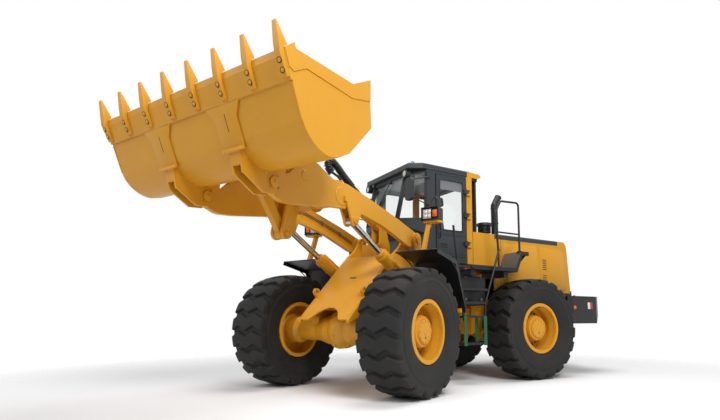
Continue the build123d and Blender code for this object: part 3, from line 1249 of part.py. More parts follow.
def side_box():
    """Left box under the walkway."""
    box = block((-760, -250), (WALK_IN - 140, 1040), (1160, WALK_Z - WALK_T - 90))
    return fillet(box.edges().filter_by(Axis.Y), 20)


def mirror_and_arm(side):
    """Mirror on its arm beside the cab."""
    arm = bar((CAB_FRONT_X - 40, side * (CAB_Y + 11.3), 3160), (620, side * 960, 3010), 22)
    head = block((590, 650), (side * 880, side * 1040), (2690, 3030))
    return arm + fillet(head.edges().filter_by(Axis.X), 50)


def roof_lamps():
    """Round work lamps under the roof's front corners and on its rear."""
    lamps = []
    for side in (1, -1):
        lamps.append(bar((ROOF_FRONT_X - 60, side * 600, CAB_TOP_Z - 70),
                         (ROOF_FRONT_X + 20, side * 600, CAB_TOP_Z - 70), 120) +
                     block((ROOF_FRONT_X - 50, ROOF_FRONT_X - 20), (side * 585, side * 615),
                           (CAB_TOP_Z - 70, CAB_TOP_Z)))
    return lamps


def rear_lamps():
    """Lamps on the hood's rear corners."""
    lamps = []
    low, high = 1500, 1580
    for side in (1, -1):
        y_a, y_b = sorted((side * 610, side * 730))
        lamps.append(plate([(rear_face_x(low) - 24, low), (rear_face_x(high) - 24, high),
                            (rear_face_x(high), high), (rear_face_x(low), low)], y_a, y_b))
    return lamps


def to_rear(shape):
    """Place of a rear piece in the finished frame."""
    return Pos(-ORIGIN_X, -ORIGIN_Y, 0) * shape


def to_front(shape):
    """Place of a front piece in the finished frame."""
    return Pos(-ORIGIN_X, -ORIGIN_Y, 0) * (Rot(0, 0, STEER_ANGLE) * shape)


def save(name, shape, place):
    """Write one sub-part, of one solid or of several that don't touch."""
    solids = shape if isinstance(shape, list) else [shape]
    found = []
    for solid in solids:
        found += place(solid).solids()
    export_step(found[0] if len(found) == 1 else Compound(found), "parts/" + name + ".step")


def build():
    """Build and write every sub-part."""
    os.makedirs("parts", exist_ok=True)
    lift_barrels, lift_rods = lift_cylinders()
    tilt_barrel, tilt_rod = tilt_cylinder()
    front = {
        "front_frame": front_frame(), "lifting_eyes": pair(lifting_eye()), "front_axle": front_axle(),
        "front_mudguards": pair(mudguard()),
        "headlamp_stalks": pair(headlamp_stalk()), "headlamps": pair(headlamp()),
        "boom": boom(), "bellcrank": bellcrank(), "bucket_link": bucket_link(),
        "bucket_shell": bucket_shell(), "bucket_teeth": bucket_teeth(),
        "lift_barrels": lift_barrels, "lift_rods": lift_rods,
        "tilt_barrel": tilt_barrel, "tilt_rod": tilt_rod,
    }
    for name, piece in wheel_set(AXLE_X).items():
        front["front_" + name] = piece
    seat_base, column = cab_inside()
    rear = {
        "rear_frame": rear_frame(), "rear_axle": rear_axle(), "engine_block": engine(),
        "counterweight": counterweight(), "cab_frame": cab_frame(), "cab_rear": cab_rear(),
        "cab_roof": cab_roof(), "roof_visor": roof_visor(), "cab_door": cab_door(),
        "door_glass": door_glass(), "cab_glass": cab_glass(), "seat_base": seat_base,
        "steering_column": column, "seat_cushions": seat_cushions(), "hood": hood(),
        "hood_cap": hood_cap(), "radiator_grille": radiator_grille(), "exhaust_stack": exhaust(),
        "air_pre_cleaner": pre_cleaner(), "walkways": pair(walkway()), "ladders": both(ladder()),
        "step_straps": both(step_straps()),
        "handrails": pair(handrail()), "side_boxes": pair(side_box()),
        "mirrors": [mirror_and_arm(1), mirror_and_arm(-1)], "work_lamps": roof_lamps(),
        "rear_lamps": rear_lamps(),
    }
    for name, piece in wheel_set(-AXLE_X).items():
        rear["rear_" + name] = piece
    for side, name in ((1, "left"), (-1, "right")):
        tube, rod = steer_cylinder(side)
        rear[name + "_steer_barrel"] = tube
        rear[name + "_steer_rod"] = rod
    for name, shape in front.items():
        save(name, shape, to_front)
    for name, shape in rear.items():
        save(name, shape, to_rear)


build()
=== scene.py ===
"""Looks of the wheel loader: materials, small parts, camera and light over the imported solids."""
import math

import bmesh
import bpy
from mathutils import Matrix, Vector


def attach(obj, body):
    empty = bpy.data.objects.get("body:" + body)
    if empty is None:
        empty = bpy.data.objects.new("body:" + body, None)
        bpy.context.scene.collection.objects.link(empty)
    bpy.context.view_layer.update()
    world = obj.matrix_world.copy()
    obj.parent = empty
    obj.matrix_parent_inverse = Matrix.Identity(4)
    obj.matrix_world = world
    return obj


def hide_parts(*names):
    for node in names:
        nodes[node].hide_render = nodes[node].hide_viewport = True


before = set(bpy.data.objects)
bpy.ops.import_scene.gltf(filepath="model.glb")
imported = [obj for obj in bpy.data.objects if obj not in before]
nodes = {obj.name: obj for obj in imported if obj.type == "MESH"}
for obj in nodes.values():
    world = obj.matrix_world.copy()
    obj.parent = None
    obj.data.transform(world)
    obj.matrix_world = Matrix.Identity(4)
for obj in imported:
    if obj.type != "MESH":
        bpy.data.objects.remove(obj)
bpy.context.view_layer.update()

# Places shared with the solids, in metres
TURN = math.radians(24.2)       # front half turned left about the steering hinge
ORIGIN = Vector((0.5036, 0.8639, 0.0))
AXLE_X = 1.650
TRACK = 2.200
WHEEL_R = 0.805
TYRE_W = 0.595
BOOM_Y = 0.550

REAR = Matrix.Translation(-ORIGIN)
FRONT = Matrix.Translation(-ORIGIN) @ Matrix.Rotation(TURN, 4, "Z")


# Shader expressions

class Value:
    """A shader socket that takes part in Python expressions."""

    def __init__(self, tree, socket):
        self.tree = tree
        self.socket = socket

    def math(self, operation, *others, clamp=False):
        node = self.tree.nodes.new("ShaderNodeMath")
        node.operation = operation
        node.use_clamp = clamp
        for slot, value in zip(node.inputs, (self,) + others):
            feed(self.tree, slot, value)
        return Value(self.tree, node.outputs[0])

    def __add__(self, other):
        return self.math("ADD", other)

    def __sub__(self, other):
        return self.math("SUBTRACT", other)

    def __rsub__(self, other):
        return (self * -1.0) + other

    def __mul__(self, other):
        return self.math("MULTIPLY", other)

    def __truediv__(self, other):
        return self.math("DIVIDE", other)

    __radd__ = __add__
    __rmul__ = __mul__

    def over(self, edge, soft=0.05):
        """0 below the edge, 1 above it, with a soft step."""
        return ((self - edge) / soft).math("ADD", 0.5, clamp=True)

    def clamped(self):
        return self.math("ADD", 0.0, clamp=True)


def link(tree, source, out, target, into):
    """Links two nodes, their sockets given by name or number."""
    tree.links.new(source.outputs[out], target.inputs[into])


def feed(tree, slot, value):
    """Links a value to a socket, or sets it."""
    if isinstance(value, Value):
        tree.links.new(value.socket, slot)
    elif value is not None:
        slot.default_value = value


class Finish:
    """A procedural material and the methods that add its nodes."""

    def __init__(self, name):
        self.material = bpy.data.materials.new(name)
        self.material.use_nodes = True
        self.tree = self.material.node_tree
        self.shader = self.tree.nodes["Principled BSDF"]
        self.place = self.out(self.node("ShaderNodeTexCoord"), "Object")

    def node(self, kind, settings=None, inputs=None):
        made = self.tree.nodes.new(kind)
        for key, value in (settings or {}).items():
            setattr(made, key, value)
        for key, value in (inputs or {}).items():
            feed(self.tree, made.inputs[key], value)
        return made

    def out(self, node, name):
        return Value(self.tree, node.outputs[name])

    def noise(self, scale, detail=3.0, rough=0.55, place=None):
        node = self.node("ShaderNodeTexNoise", None,
                         {"Vector": place or self.place, "Scale": scale, "Detail": detail, "Roughness": rough})
        return self.out(node, "Fac")

    def cells(self, scale):
        return self.out(self.node("ShaderNodeTexVoronoi", None, {"Vector": self.place, "Scale": scale}), "Distance")

    def axis(self, letter):
        split = self.node("ShaderNodeSeparateXYZ", None, {"Vector": self.place})
        return self.out(split, letter)

    def stretched(self, x, y, z):
        node = self.node("ShaderNodeMapping", None, {"Vector": self.place, "Scale": (x, y, z)})
        return self.out(node, "Vector")

    def mix(self, mask, first, second):
        node = self.node("ShaderNodeMix", {"data_type": "RGBA"})
        feed(self.tree, node.inputs["Factor"], mask)
        feed(self.tree, node.inputs[6], first)
        feed(self.tree, node.inputs[7], second)
        return Value(self.tree, node.outputs[2])

    def bump(self, height, strength, distance=0.002, normal=None):
        node = self.node("ShaderNodeBump", None, {"Height": height, "Strength": strength,
                                                  "Distance": distance, "Normal": normal})
        return self.out(node, "Normal")

    def set(self, **sockets):
        for key, value in sockets.items():
            feed(self.tree, self.shader.inputs[key.replace("_", " ")], value)
        return self.material


def colour(r, g, b):
    """Linear colour from the 0 to 255 values of a picture."""
    def linear(v):
        v /= 255.0
        return v / 12.92 if v <= 0.04045 else ((v + 0.055) / 1.055) ** 2.4
    return (linear(r), linear(g), linear(b), 1.0)


YELLOW_TONES = (colour(218, 156, 36), colour(198, 131, 24))
BLACK_TONE = colour(17, 19, 22)


def enamel(name, base, dark, rough=0.42, dust_and_shade=0.22, coat=0.08):
    """Sprayed enamel: faint orange peel, uneven gloss, road dust in patches, gathered low down, where the brown is
    also painted shade near the ground.
    """
    f = Finish(name)
    broad = f.noise(0.9, 4.0)
    fine = f.noise(9.0, 5.0, 0.65)
    # Weight that grows toward the ground: the brown it gathers there is partly road dust, partly painted shade near
    # the ground.
    low = 1.0 - (f.axis("Z") / 1.4).clamped()
    dust = (fine.over(0.58, 0.22) * (low * 0.8 + 0.08) * dust_and_shade).clamped()
    tone = f.mix(broad.over(0.5, 0.5) * 0.45, base, dark)
    streak = f.noise(5.0, 4.0, 0.6, f.stretched(6.0, 6.0, 0.5)).over(0.62, 0.15) * 0.10
    tone = f.mix(streak, tone, dark)
    # Mixes in the brown of road dust, which low down is also painted shade.
    tone = f.mix(dust, tone, colour(140, 100, 62))
    peel = f.noise(260.0, 2.0)
    return f.set(Base_Color=tone, Roughness=fine * 0.12 + rough + dust * 0.4 - 0.04, Specular_IOR_Level=0.35,
                 Coat_Weight=coat, Coat_Roughness=0.12, Normal=f.bump(peel, 0.05, 0.001))


def tyre_finish():
    """Black rubber with a grey bloom, scuffs and dust in patches."""
    f = Finish("tyre_rubber")
    fine = f.noise(14.0, 6.0, 0.7)
    grain = f.noise(420.0, 2.0)
    cloud = f.noise(2.2, 4.0)
    tone = f.mix(fine.over(0.55, 0.3) * 0.5, colour(21, 22, 22), colour(33, 34, 33))
    tone = f.mix(cloud.over(0.55, 0.25) * 0.3, tone, colour(58, 52, 44))
    return f.set(Base_Color=tone, Roughness=fine * 0.2 + 0.62, Specular_IOR_Level=0.35,
                 Normal=f.bump(grain, 0.25, 0.002, f.bump(fine, 0.2, 0.006)))


def plastic(name, tone_a, tone_b, rough=0.5, grain_scale=600.0):
    """Moulded plastic or rubber trim with a fine grain."""
    f = Finish(name)
    grain = f.cells(grain_scale)
    cloud = f.noise(6.0, 3.0)
    return f.set(Base_Color=f.mix(cloud.over(0.5, 0.4) * 0.6, tone_a, tone_b),
                 Roughness=cloud * 0.15 + rough - 0.06, Normal=f.bump(grain, 0.12, 0.001))


def chrome():
    """Hard chrome of the cylinder rods, with a thin film of oil."""
    f = Finish("rod_chrome")
    film = f.noise(18.0, 4.0)
    return f.set(Base_Color=f.mix(film.over(0.5, 0.3) * 0.5, colour(205, 205, 205), colour(160, 158, 150)),
                 Metallic=1.0, Roughness=film * 0.16 + 0.06)


def bare_steel(name, tone_a, tone_b, rough=0.35):
    """Worn steel of bolts, edges and pins."""
    f = Finish(name)
    grain = f.noise(40.0, 5.0, 0.7)
    return f.set(Base_Color=f.mix(grain.over(0.5, 0.3), tone_a, tone_b), Metallic=0.9,
                 Roughness=grain * 0.25 + rough, Normal=f.bump(grain, 0.1, 0.001))


def glass():
    """Clear cab glass, faintly tinted, with a trace of dust and more sheen at a slant."""
    f = Finish("clear_glass")
    film = f.noise(7.0, 4.0)
    clear = f.node("ShaderNodeBsdfTransparent", None, {"Color": (0.978, 0.988, 0.985, 1.0)})
    mixer = f.node("ShaderNodeMixShader")
    f.set(Base_Color=colour(205, 215, 216), Roughness=0.04, Metallic=0.9)
    weight = film.over(0.5, 0.5) * 0.03 + 0.01
    facing = f.out(f.node("ShaderNodeLayerWeight", None, {"Blend": 0.35}), "Facing")
    feed(f.tree, mixer.inputs[0], (weight + facing * facing * 0.35).clamped())
    link(f.tree, clear, 0, mixer, 1)
    f.tree.links.new(f.shader.outputs[0], mixer.inputs[2])
    f.tree.links.new(mixer.outputs[0], f.tree.nodes["Material Output"].inputs["Surface"])
    return f.material


def part_black(name, where):
    """Yellow enamel that is black where a rule on the place says so."""
    f = Finish(name)
    cloud = f.noise(0.9, 4.0).over(0.5, 0.5) * 0.45
    fine = f.noise(9.0, 5.0, 0.65)
    tone = f.mix(where(f), f.mix(cloud, *YELLOW_TONES), BLACK_TONE)
    return f.set(Base_Color=tone, Roughness=fine * 0.12 + 0.40, Specular_IOR_Level=0.35)


def rear_posts(f):
    """Mask of the rear window's posts."""
    return (f.axis("X") * -1.0).over(1.228, 0.002) * f.axis("Z").over(2.375, 0.004)


def walkway_brackets(f):
    """Mask of the brackets under the walkways."""
    return (f.axis("Y") + ORIGIN.y).math("ABSOLUTE").over(0.640, 0.01) * f.axis("Z").over(1.50, 0.004)


YELLOW = enamel("paint_yellow", *YELLOW_TONES)
REAR_YELLOW = part_black("paint_yellow_rear", rear_posts)
FRAME_YELLOW = part_black("paint_yellow_frame", walkway_brackets)
CHARCOAL = enamel("paint_charcoal", colour(42, 49, 52), colour(33, 39, 42), 0.42, 0.15)
BLACK = enamel("paint_black", BLACK_TONE, colour(12, 14, 16), 0.42, 0.12)
RUBBER = tyre_finish()
# Dark plastic trim, also the finish of painted shade: the dark sheets in the sloping face's slot and under the
# hood's louvres.
TRIM_AND_SHADE = plastic("trim_plastic", colour(20, 21, 23), colour(30, 31, 33))
CHROME = chrome()
STEEL = bare_steel("worn_steel", colour(140, 138, 132), colour(96, 92, 86))
# Dark worn steel, also the finish of painted shade: the dark rings in the tooth bolts' recesses and the dark strips
# in the hangers' slit openings.
DARK_STEEL_AND_SHADE = bare_steel("dark_steel_and_shade", colour(70, 66, 60), colour(50, 46, 42), 0.5)
GLASS = glass()
LENS = plastic("lamp_lens", colour(214, 216, 210), colour(196, 198, 190), 0.14, 220.0)
AMBER = plastic("amber_lens", colour(238, 110, 20), colour(222, 92, 12), 0.2, 200.0)
RED = plastic("red_lens", colour(204, 34, 20), colour(180, 24, 14), 0.22, 200.0)
WHITE = plastic("white_reflector", colour(236, 236, 230), colour(222, 222, 214), 0.3, 200.0)
SHADE = plastic("sun_strip", colour(116, 122, 124), colour(100, 106, 108), 0.3, 300.0)
STRAP = plastic("strap_green", colour(0, 84, 44), colour(0, 66, 34), 0.5, 300.0)
GRIP = enamel("grip_plate", colour(96, 92, 88), colour(74, 66, 58), 0.5, 0.8, 0.0)
SEAT = plastic("seat_fabric", colour(92, 96, 100), colour(76, 80, 84), 0.8, 300.0)

FINISHES = {
    YELLOW: ("front_frame", "lifting_eyes", "front_axle", "rear_axle", "boom", "bellcrank", "bucket_link",
             "bucket_shell", "bucket_teeth", "lift_barrels", "tilt_barrel", "left_steer_barrel",
             "right_steer_barrel", "hood", "roof_visor", "headlamp_stalks",
             "front_left_rim", "front_right_rim", "rear_left_rim", "rear_right_rim"),
    REAR_YELLOW: ("cab_rear",),
    FRAME_YELLOW: ("rear_frame",),
    BLACK: ("side_boxes", "front_mudguards", "counterweight", "walkways", "ladders", "handrails", "radiator_grille",
            "exhaust_stack"),
    CHARCOAL: ("cab_frame", "cab_door", "cab_roof", "hood_cap"),
    TRIM_AND_SHADE: ("seat_base", "steering_column", "mirrors", "air_pre_cleaner", "work_lamps", "headlamps"),
    CHROME: ("lift_rods", "tilt_rod", "left_steer_rod", "right_steer_rod"),
    DARK_STEEL_AND_SHADE: ("engine_block",),
    GLASS: ("door_glass", "cab_glass"),
    RUBBER: ("front_left_tyre", "front_right_tyre", "rear_left_tyre", "rear_right_tyre"),
    SEAT: ("seat_cushions",),
    STRAP: ("step_straps",),
    AMBER: ("rear_lamps",),
}
# Slot of each finish's own pieces, where the piece names no other
SLOTS = {
    YELLOW: "paint_yellow", STEEL: "paint_yellow", CHARCOAL: "paint_charcoal", BLACK: "paint_black",
    DARK_STEEL_AND_SHADE: "paint_black", GRIP: "paint_black", CHROME: "rod_chrome", RUBBER: "tyre_rubber",
    SEAT: "seat_fabric", TRIM_AND_SHADE: "trim_plastic", SHADE: "trim_plastic", LENS: "lamp_lens", AMBER: "lamp_lens",
    RED: "lamp_lens", WHITE: "lamp_lens",
}
for finish, names in FINISHES.items():
    for name in names:
        if name in nodes:
            nodes[name].data.materials.clear()
            nodes[name].data.materials.append(finish)


# Meshes

def to_mesh(build, name):
    """Plain mesh of a bmesh, which is freed."""
    mesh = bpy.data.meshes.new(name)
    build.to_mesh(mesh)
    build.free()
    return mesh


def box_mesh(name, size, middle=(0.0, 0.0, 0.0)):
    build = bmesh.new()
    made = bmesh.ops.create_cube(build, size=1.0)
    bmesh.ops.scale(build, vec=size, verts=made["verts"])
    bmesh.ops.translate(build, vec=middle, verts=made["verts"])
    return to_mesh(build, name)


def bolt_shape(across, height):
    """Hexagon head on its washer, standing on the XY plane."""
    build = bmesh.new()
    washer = height * 0.22
    for radius, low, high, sides in ((across * 0.72, 0.0, washer, 18), (across * 0.56, washer, height, 6)):
        made = bmesh.ops.create_cone(build, cap_ends=True, segments=sides, radius1=radius, radius2=radius * 0.97,
                                     depth=high - low)
        bmesh.ops.translate(build, verts=made["verts"], vec=(0.0, 0.0, (low + high) / 2))
    return to_mesh(build, "bolt")


def new_tree(name, sizes):
    """Geometry node tree with named inputs for its sizes, and its input and output nodes."""
    tree = bpy.data.node_groups.new(name, "GeometryNodeTree")
    tree.interface.new_socket("Geometry", in_out="INPUT", socket_type="NodeSocketGeometry")
    for label, kind in sizes:
        tree.interface.new_socket(label, in_out="INPUT", socket_type=kind)
    tree.interface.new_socket("Geometry", in_out="OUTPUT", socket_type="NodeSocketGeometry")
    return tree, tree.nodes.new("NodeGroupInput"), tree.nodes.new("NodeGroupOutput")


def finish_tree(tree, start, end, instances):
    """Makes the instances real, gives them the finish and leads them out."""
    real = tree.nodes.new("GeometryNodeRealizeInstances")
    coat = tree.nodes.new("GeometryNodeSetMaterial")
    tree.links.new(instances, real.inputs["Geometry"])
    link(tree, real, "Geometry", coat, "Geometry")
    link(tree, start, "Finish", coat, "Material")
    link(tree, coat, "Geometry", end, "Geometry")
    return tree


def row_tree():
    """Tree that repeats a shape along a straight line."""
    tree, start, end = new_tree("row_of_copies", (("Count", "NodeSocketInt"), ("Step", "NodeSocketVector"),
                                                  ("Finish", "NodeSocketMaterial")))
    line = tree.nodes.new("GeometryNodeMeshLine")
    copies = tree.nodes.new("GeometryNodeInstanceOnPoints")
    link(tree, start, "Count", line, "Count")
    link(tree, start, "Step", line, "Offset")
    link(tree, line, "Mesh", copies, "Points")
    link(tree, start, "Geometry", copies, "Instance")
    return finish_tree(tree, start, end, copies.outputs["Instances"])


def ring_tree():
    """Tree that repeats a shape round the Z axis, at even angles."""
    tree, start, end = new_tree("ring_of_copies", (("Count", "NodeSocketInt"), ("Angle", "NodeSocketFloat"),
                                                   ("Finish", "NodeSocketMaterial")))
    line = tree.nodes.new("GeometryNodeMeshLine")
    line.inputs["Offset"].default_value = (0.0, 0.0, 0.0)
    number = tree.nodes.new("GeometryNodeInputIndex")
    angle = tree.nodes.new("ShaderNodeMath")
    angle.operation = "MULTIPLY"
    turn = tree.nodes.new("FunctionNodeAxisAngleToRotation")
    turn.inputs["Axis"].default_value = (0.0, 0.0, 1.0)
    copies = tree.nodes.new("GeometryNodeInstanceOnPoints")
    link(tree, start, "Count", line, "Count")
    link(tree, number, "Index", angle, 0)
    link(tree, start, "Angle", angle, 1)
    link(tree, angle, 0, turn, "Angle")
    link(tree, line, "Mesh", copies, "Points")
    link(tree, start, "Geometry", copies, "Instance")
    link(tree, turn, "Rotation", copies, "Rotation")
    return finish_tree(tree, start, end, copies.outputs["Instances"])


ROW = row_tree()
RING = ring_tree()


def repeated(mesh, tree, **values):
    """Plain mesh of a shape repeated by a tree, its inputs set by identifier."""
    holder = bpy.data.objects.new("pattern", mesh)
    bpy.context.collection.objects.link(holder)
    modifier = holder.modifiers.new("pattern", "NODES")
    modifier.node_group = tree
    for item in tree.interface.items_tree:
        if item.in_out == "INPUT" and item.name in values:
            modifier[item.identifier] = values[item.name]
    shown = holder.evaluated_get(bpy.context.evaluated_depsgraph_get())
    made = bpy.data.meshes.new_from_object(shown)
    holder.modifiers.clear()
    bpy.data.objects.remove(holder)
    return made


def row(mesh, count, step, finish):
    return repeated(mesh, ROW, Count=count, Step=tuple(step), Finish=finish)


def ring(mesh, count, finish):
    return repeated(mesh, RING, Count=count, Angle=math.radians(360.0 / count), Finish=finish)


def bolt_ring(count, radius, across, height, finish=STEEL):
    """Ring of bolts about the Z axis."""
    shape = bolt_shape(across, height)
    shape.transform(Matrix.Translation((radius, 0.0, 0.0)))
    return ring(shape, count, finish)


def facing(place, direction):
    """Matrix that carries the Z axis to a direction at a place."""
    turn = Vector(direction).to_track_quat("Z", "Y").to_matrix().to_4x4()
    return Matrix.Translation(place) @ turn


def span(side, a, b):
    """Low and high Y of something that lies from a to b on one side."""
    return sorted((side * a, side * b))


SIDES = (1, -1)
AHEAD = (1, 0, 0)
UP = (0, 0, 1)
FRONT_BODIES = ("front_frame", "boom", "bellcrank", "lift_barrels", "tilt_barrel", "bucket", "front_left_wheel",
                "front_right_wheel")


class Piece:
    """A piece under construction. Its shapes are given in its half's own frame, in metres."""

    def __init__(self, name, body, finish, slot=None):
        self.name, self.body, self.finish, self.slot = name, body, finish, slot or SLOTS[finish]
        self.half = FRONT if body in FRONT_BODIES else REAR
        self.mesh = bmesh.new()

    def prism(self, low, high):
        """Closed solid between two outlines of as many corners."""
        a = [self.mesh.verts.new(p) for p in low]
        b = [self.mesh.verts.new(p) for p in high]
        self.mesh.faces.new(a)
        self.mesh.faces.new(b)
        for i in range(len(a)):
            j = (i + 1) % len(a)
            self.mesh.faces.new((a[i], a[j], b[j], b[i]))
        return self

    def block(self, x, y, z):
        corners = [(x[0], y[0]), (x[1], y[0]), (x[1], y[1]), (x[0], y[1])]
        return self.prism([(*c, z[0]) for c in corners], [(*c, z[1]) for c in corners])

    def slab(self, outline, y):
        """Plate between two Y planes from its (x, z) corners."""
        return self.prism([(x, y[0], z) for x, z in outline], [(x, y[1], z) for x, z in outline])

    def turned(self, profile, place, direction, steps=32):
        """Shape turned about a line, from (along, radius) points, closed at both ends."""
        rings = self.rings(profile, place, direction, steps)
        self.skin(rings)
        self.mesh.faces.new(rings[0])
        self.mesh.faces.new(rings[-1])
        return self

    def rings(self, profile, place, direction, steps):
        """Rings of corners about a line, one for each (along, radius) point."""
        matrix = facing(place, direction)
        angles = [2 * math.pi * i / steps for i in range(steps)]
        return [[self.mesh.verts.new(matrix @ Vector((radius * math.cos(a), radius * math.sin(a), along)))
                 for a in angles] for along, radius in profile]

    def skin(self, rings):
        """Faces between each ring and the next."""
        for a, b in zip(rings, rings[1:]):
            for i in range(len(a)):
                j = (i + 1) % len(a)
                self.mesh.faces.new((a[i], a[j], b[j], b[i]))

    def rod(self, start, end, radius, steps=20):
        start, end = Vector(start), Vector(end)
        length = (end - start).length
        edge = min(radius * 0.2, 0.003, length * 0.2)
        return self.turned([(0.0, radius - edge), (edge, radius), (length - edge, radius), (length, radius - edge)],
                           start, end - start, steps)

    def hoop(self, profile, place, direction, steps=48):
        """Ring turned about a line from a closed (along, radius) profile."""
        rings = self.rings(profile, place, direction, steps)
        self.skin(rings + rings[:1])
        return self

    def tube(self, points, radius, sides=10, closed=False):
        """Round tube along a smooth line through the points."""
        curve = bpy.data.curves.new("tube", "CURVE")
        curve.dimensions = "3D"
        curve.bevel_depth = radius
        curve.bevel_resolution = max(sides // 4, 1)
        curve.use_fill_caps = not closed
        line = curve.splines.new("NURBS")
        line.points.add(len(points) - 1)
        for slot, point in zip(line.points, points):
            slot.co = (*point, 1.0)
        line.order_u = 3
        line.use_endpoint_u = not closed
        line.use_cyclic_u = closed
        line.resolution_u = 6
        holder = bpy.data.objects.new("tube", curve)
        self.add(bpy.data.meshes.new_from_object(holder), Matrix())
        bpy.data.objects.remove(holder)
        return self

    def ribbed(self, points, radius, wire, turns):
        """Coil of wire wound round a line of points."""
        path = [Vector(p) for p in points]
        lengths = [0.0]
        for a, b in zip(path, path[1:]):
            lengths.append(lengths[-1] + (b - a).length)
        coil = []
        for step in range(turns * 8 + 1):
            want = lengths[-1] * step / (turns * 8)
            k = max(i for i in range(len(path) - 1) if lengths[i] <= want + 1e-9)
            share = (want - lengths[k]) / (lengths[k + 1] - lengths[k])
            along = (path[k + 1] - path[k]).normalized()
            side = along.cross(Vector((0.0, 1.0, 0.0))).normalized()
            up = side.cross(along)
            angle = step * math.pi / 4
            coil.append(path[k].lerp(path[k + 1], share) + (side * math.cos(angle) + up * math.sin(angle)) * radius)
        return self.tube(coil, wire, 4)

    def add(self, mesh, matrix):
        """Adds a copy of a mesh at a place in the half's frame."""
        copy = mesh.copy()
        copy.transform(matrix)
        self.mesh.from_mesh(copy)
        bpy.data.meshes.remove(copy)
        return self

    def bolts(self, places, direction, across=0.030, height=0.018):
        """Single bolts at places, all facing one way."""
        shape = bolt_shape(across, height)
        for place in places:
            self.add(shape, facing(place, direction))
        return self

    def done(self, bevel=0.0, segments=2, sharp=40.0, replaces=()):
        """Finished object: placed, edges rounded, riding its body."""
        bmesh.ops.transform(self.mesh, matrix=self.half, verts=self.mesh.verts)
        bmesh.ops.recalc_face_normals(self.mesh, faces=self.mesh.faces)
        mesh = to_mesh(self.mesh, self.name)
        holder = bpy.data.objects.new(self.name, mesh)
        bpy.context.collection.objects.link(holder)
        if bevel:
            rounding = holder.modifiers.new("rounding", "BEVEL")
            rounding.width = bevel
            rounding.segments = segments
            rounding.limit_method = "ANGLE"
            rounding.angle_limit = math.radians(40.0)
            shown = holder.evaluated_get(bpy.context.evaluated_depsgraph_get())
            holder.data = bpy.data.meshes.new_from_object(shown)
            holder.modifiers.clear()
            bpy.data.meshes.remove(mesh)
        holder.data.name = self.name
        holder.data.materials.clear()
        holder.data.materials.append(self.finish)
        holder.data.shade_smooth()
        holder.data.set_sharp_from_angle(angle=math.radians(sharp))
        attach(holder, self.body)
        if replaces:
            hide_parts(*replaces)
        return holder


# Wheels

def tyre_mesh():
    """Tyre about Y: zig-zag lugs with rounded edges, grooves that run out on the sidewall, raised rings."""
    pitches, share, flank, wave, depth, crown = 20, 0.64, 0.7, 5.0, 0.038, 0.028
    half, bead = TYRE_W / 2, 0.3702
    across = []
    for step in range(-8, 9):
        s = step / 8 * 0.96
        bend = abs(s) / 0.48 if abs(s) <= 0.48 else (0.96 - abs(s)) / 0.48
        across.append((s * half, WHEEL_R - crown * s * s, depth, bend * wave))
    wall = [(0.292, 0.768, 0.034, 0.0), (0.2965, 0.748, 0.028, 0.0), (0.2975, 0.722, 0.016, 0.0),
            (0.2970, 0.700, 0.0, 0.0), (0.2925, 0.692, 0.0, 0.0), (0.2935, 0.640, 0.0, 0.0),
            (0.2972, 0.634, 0.0, 0.0), (0.2972, 0.622, 0.0, 0.0), (0.2925, 0.616, 0.0, 0.0),
            (0.2880, 0.540, 0.0, 0.0), (0.2780, 0.475, 0.0, 0.0), (0.2680, 0.448, 0.0, 0.0),
            (0.2640, 0.444, 0.0, 0.0), (0.2560, 0.415, 0.0, 0.0), (0.2285, 0.3985, 0.0, 0.0),
            (0.2275, bead + 0.012, 0.0, 0.0)]
    line = [(-y, r, d, w) for y, r, d, w in reversed(wall)] + across + wall
    pitch = 360.0 / pitches
    top = pitch * share
    stations = ((-flank, 1.0), (-0.1, 0.16), (0.35, 0.0), (top * 0.33, -0.02), (top * 0.66, -0.02),
                (top - 0.35, 0.0), (top + 0.1, 0.16), (top + flank, 1.0), ((top + pitch) / 2, 1.04))
    build = bmesh.new()
    rows = []
    for i in range(pitches):
        for turn, low in stations:
            verts = []
            for y, radius, groove, bend in line:
                angle = math.radians(i * pitch + turn + bend)
                drop = radius - groove * low
                side = 1.0 if groove or radius > 0.70 else 0.0
                inward = groove * low * 0.25 * (1.0 if abs(y) > 0.289 else 0.0) * side
                verts.append(build.verts.new((drop * math.cos(angle), y - math.copysign(inward, y),
                                              drop * math.sin(angle))))
            rows.append(verts)
    for a, b in zip(rows, rows[1:] + rows[:1]):
        for k in range(len(line) - 1):
            build.faces.new((a[k], b[k], b[k + 1], a[k + 1]))
        build.faces.new((a[-1], b[-1], b[0], a[0]))
    bmesh.ops.recalc_face_normals(build, faces=build.faces)
    return to_mesh(build, "tyre")


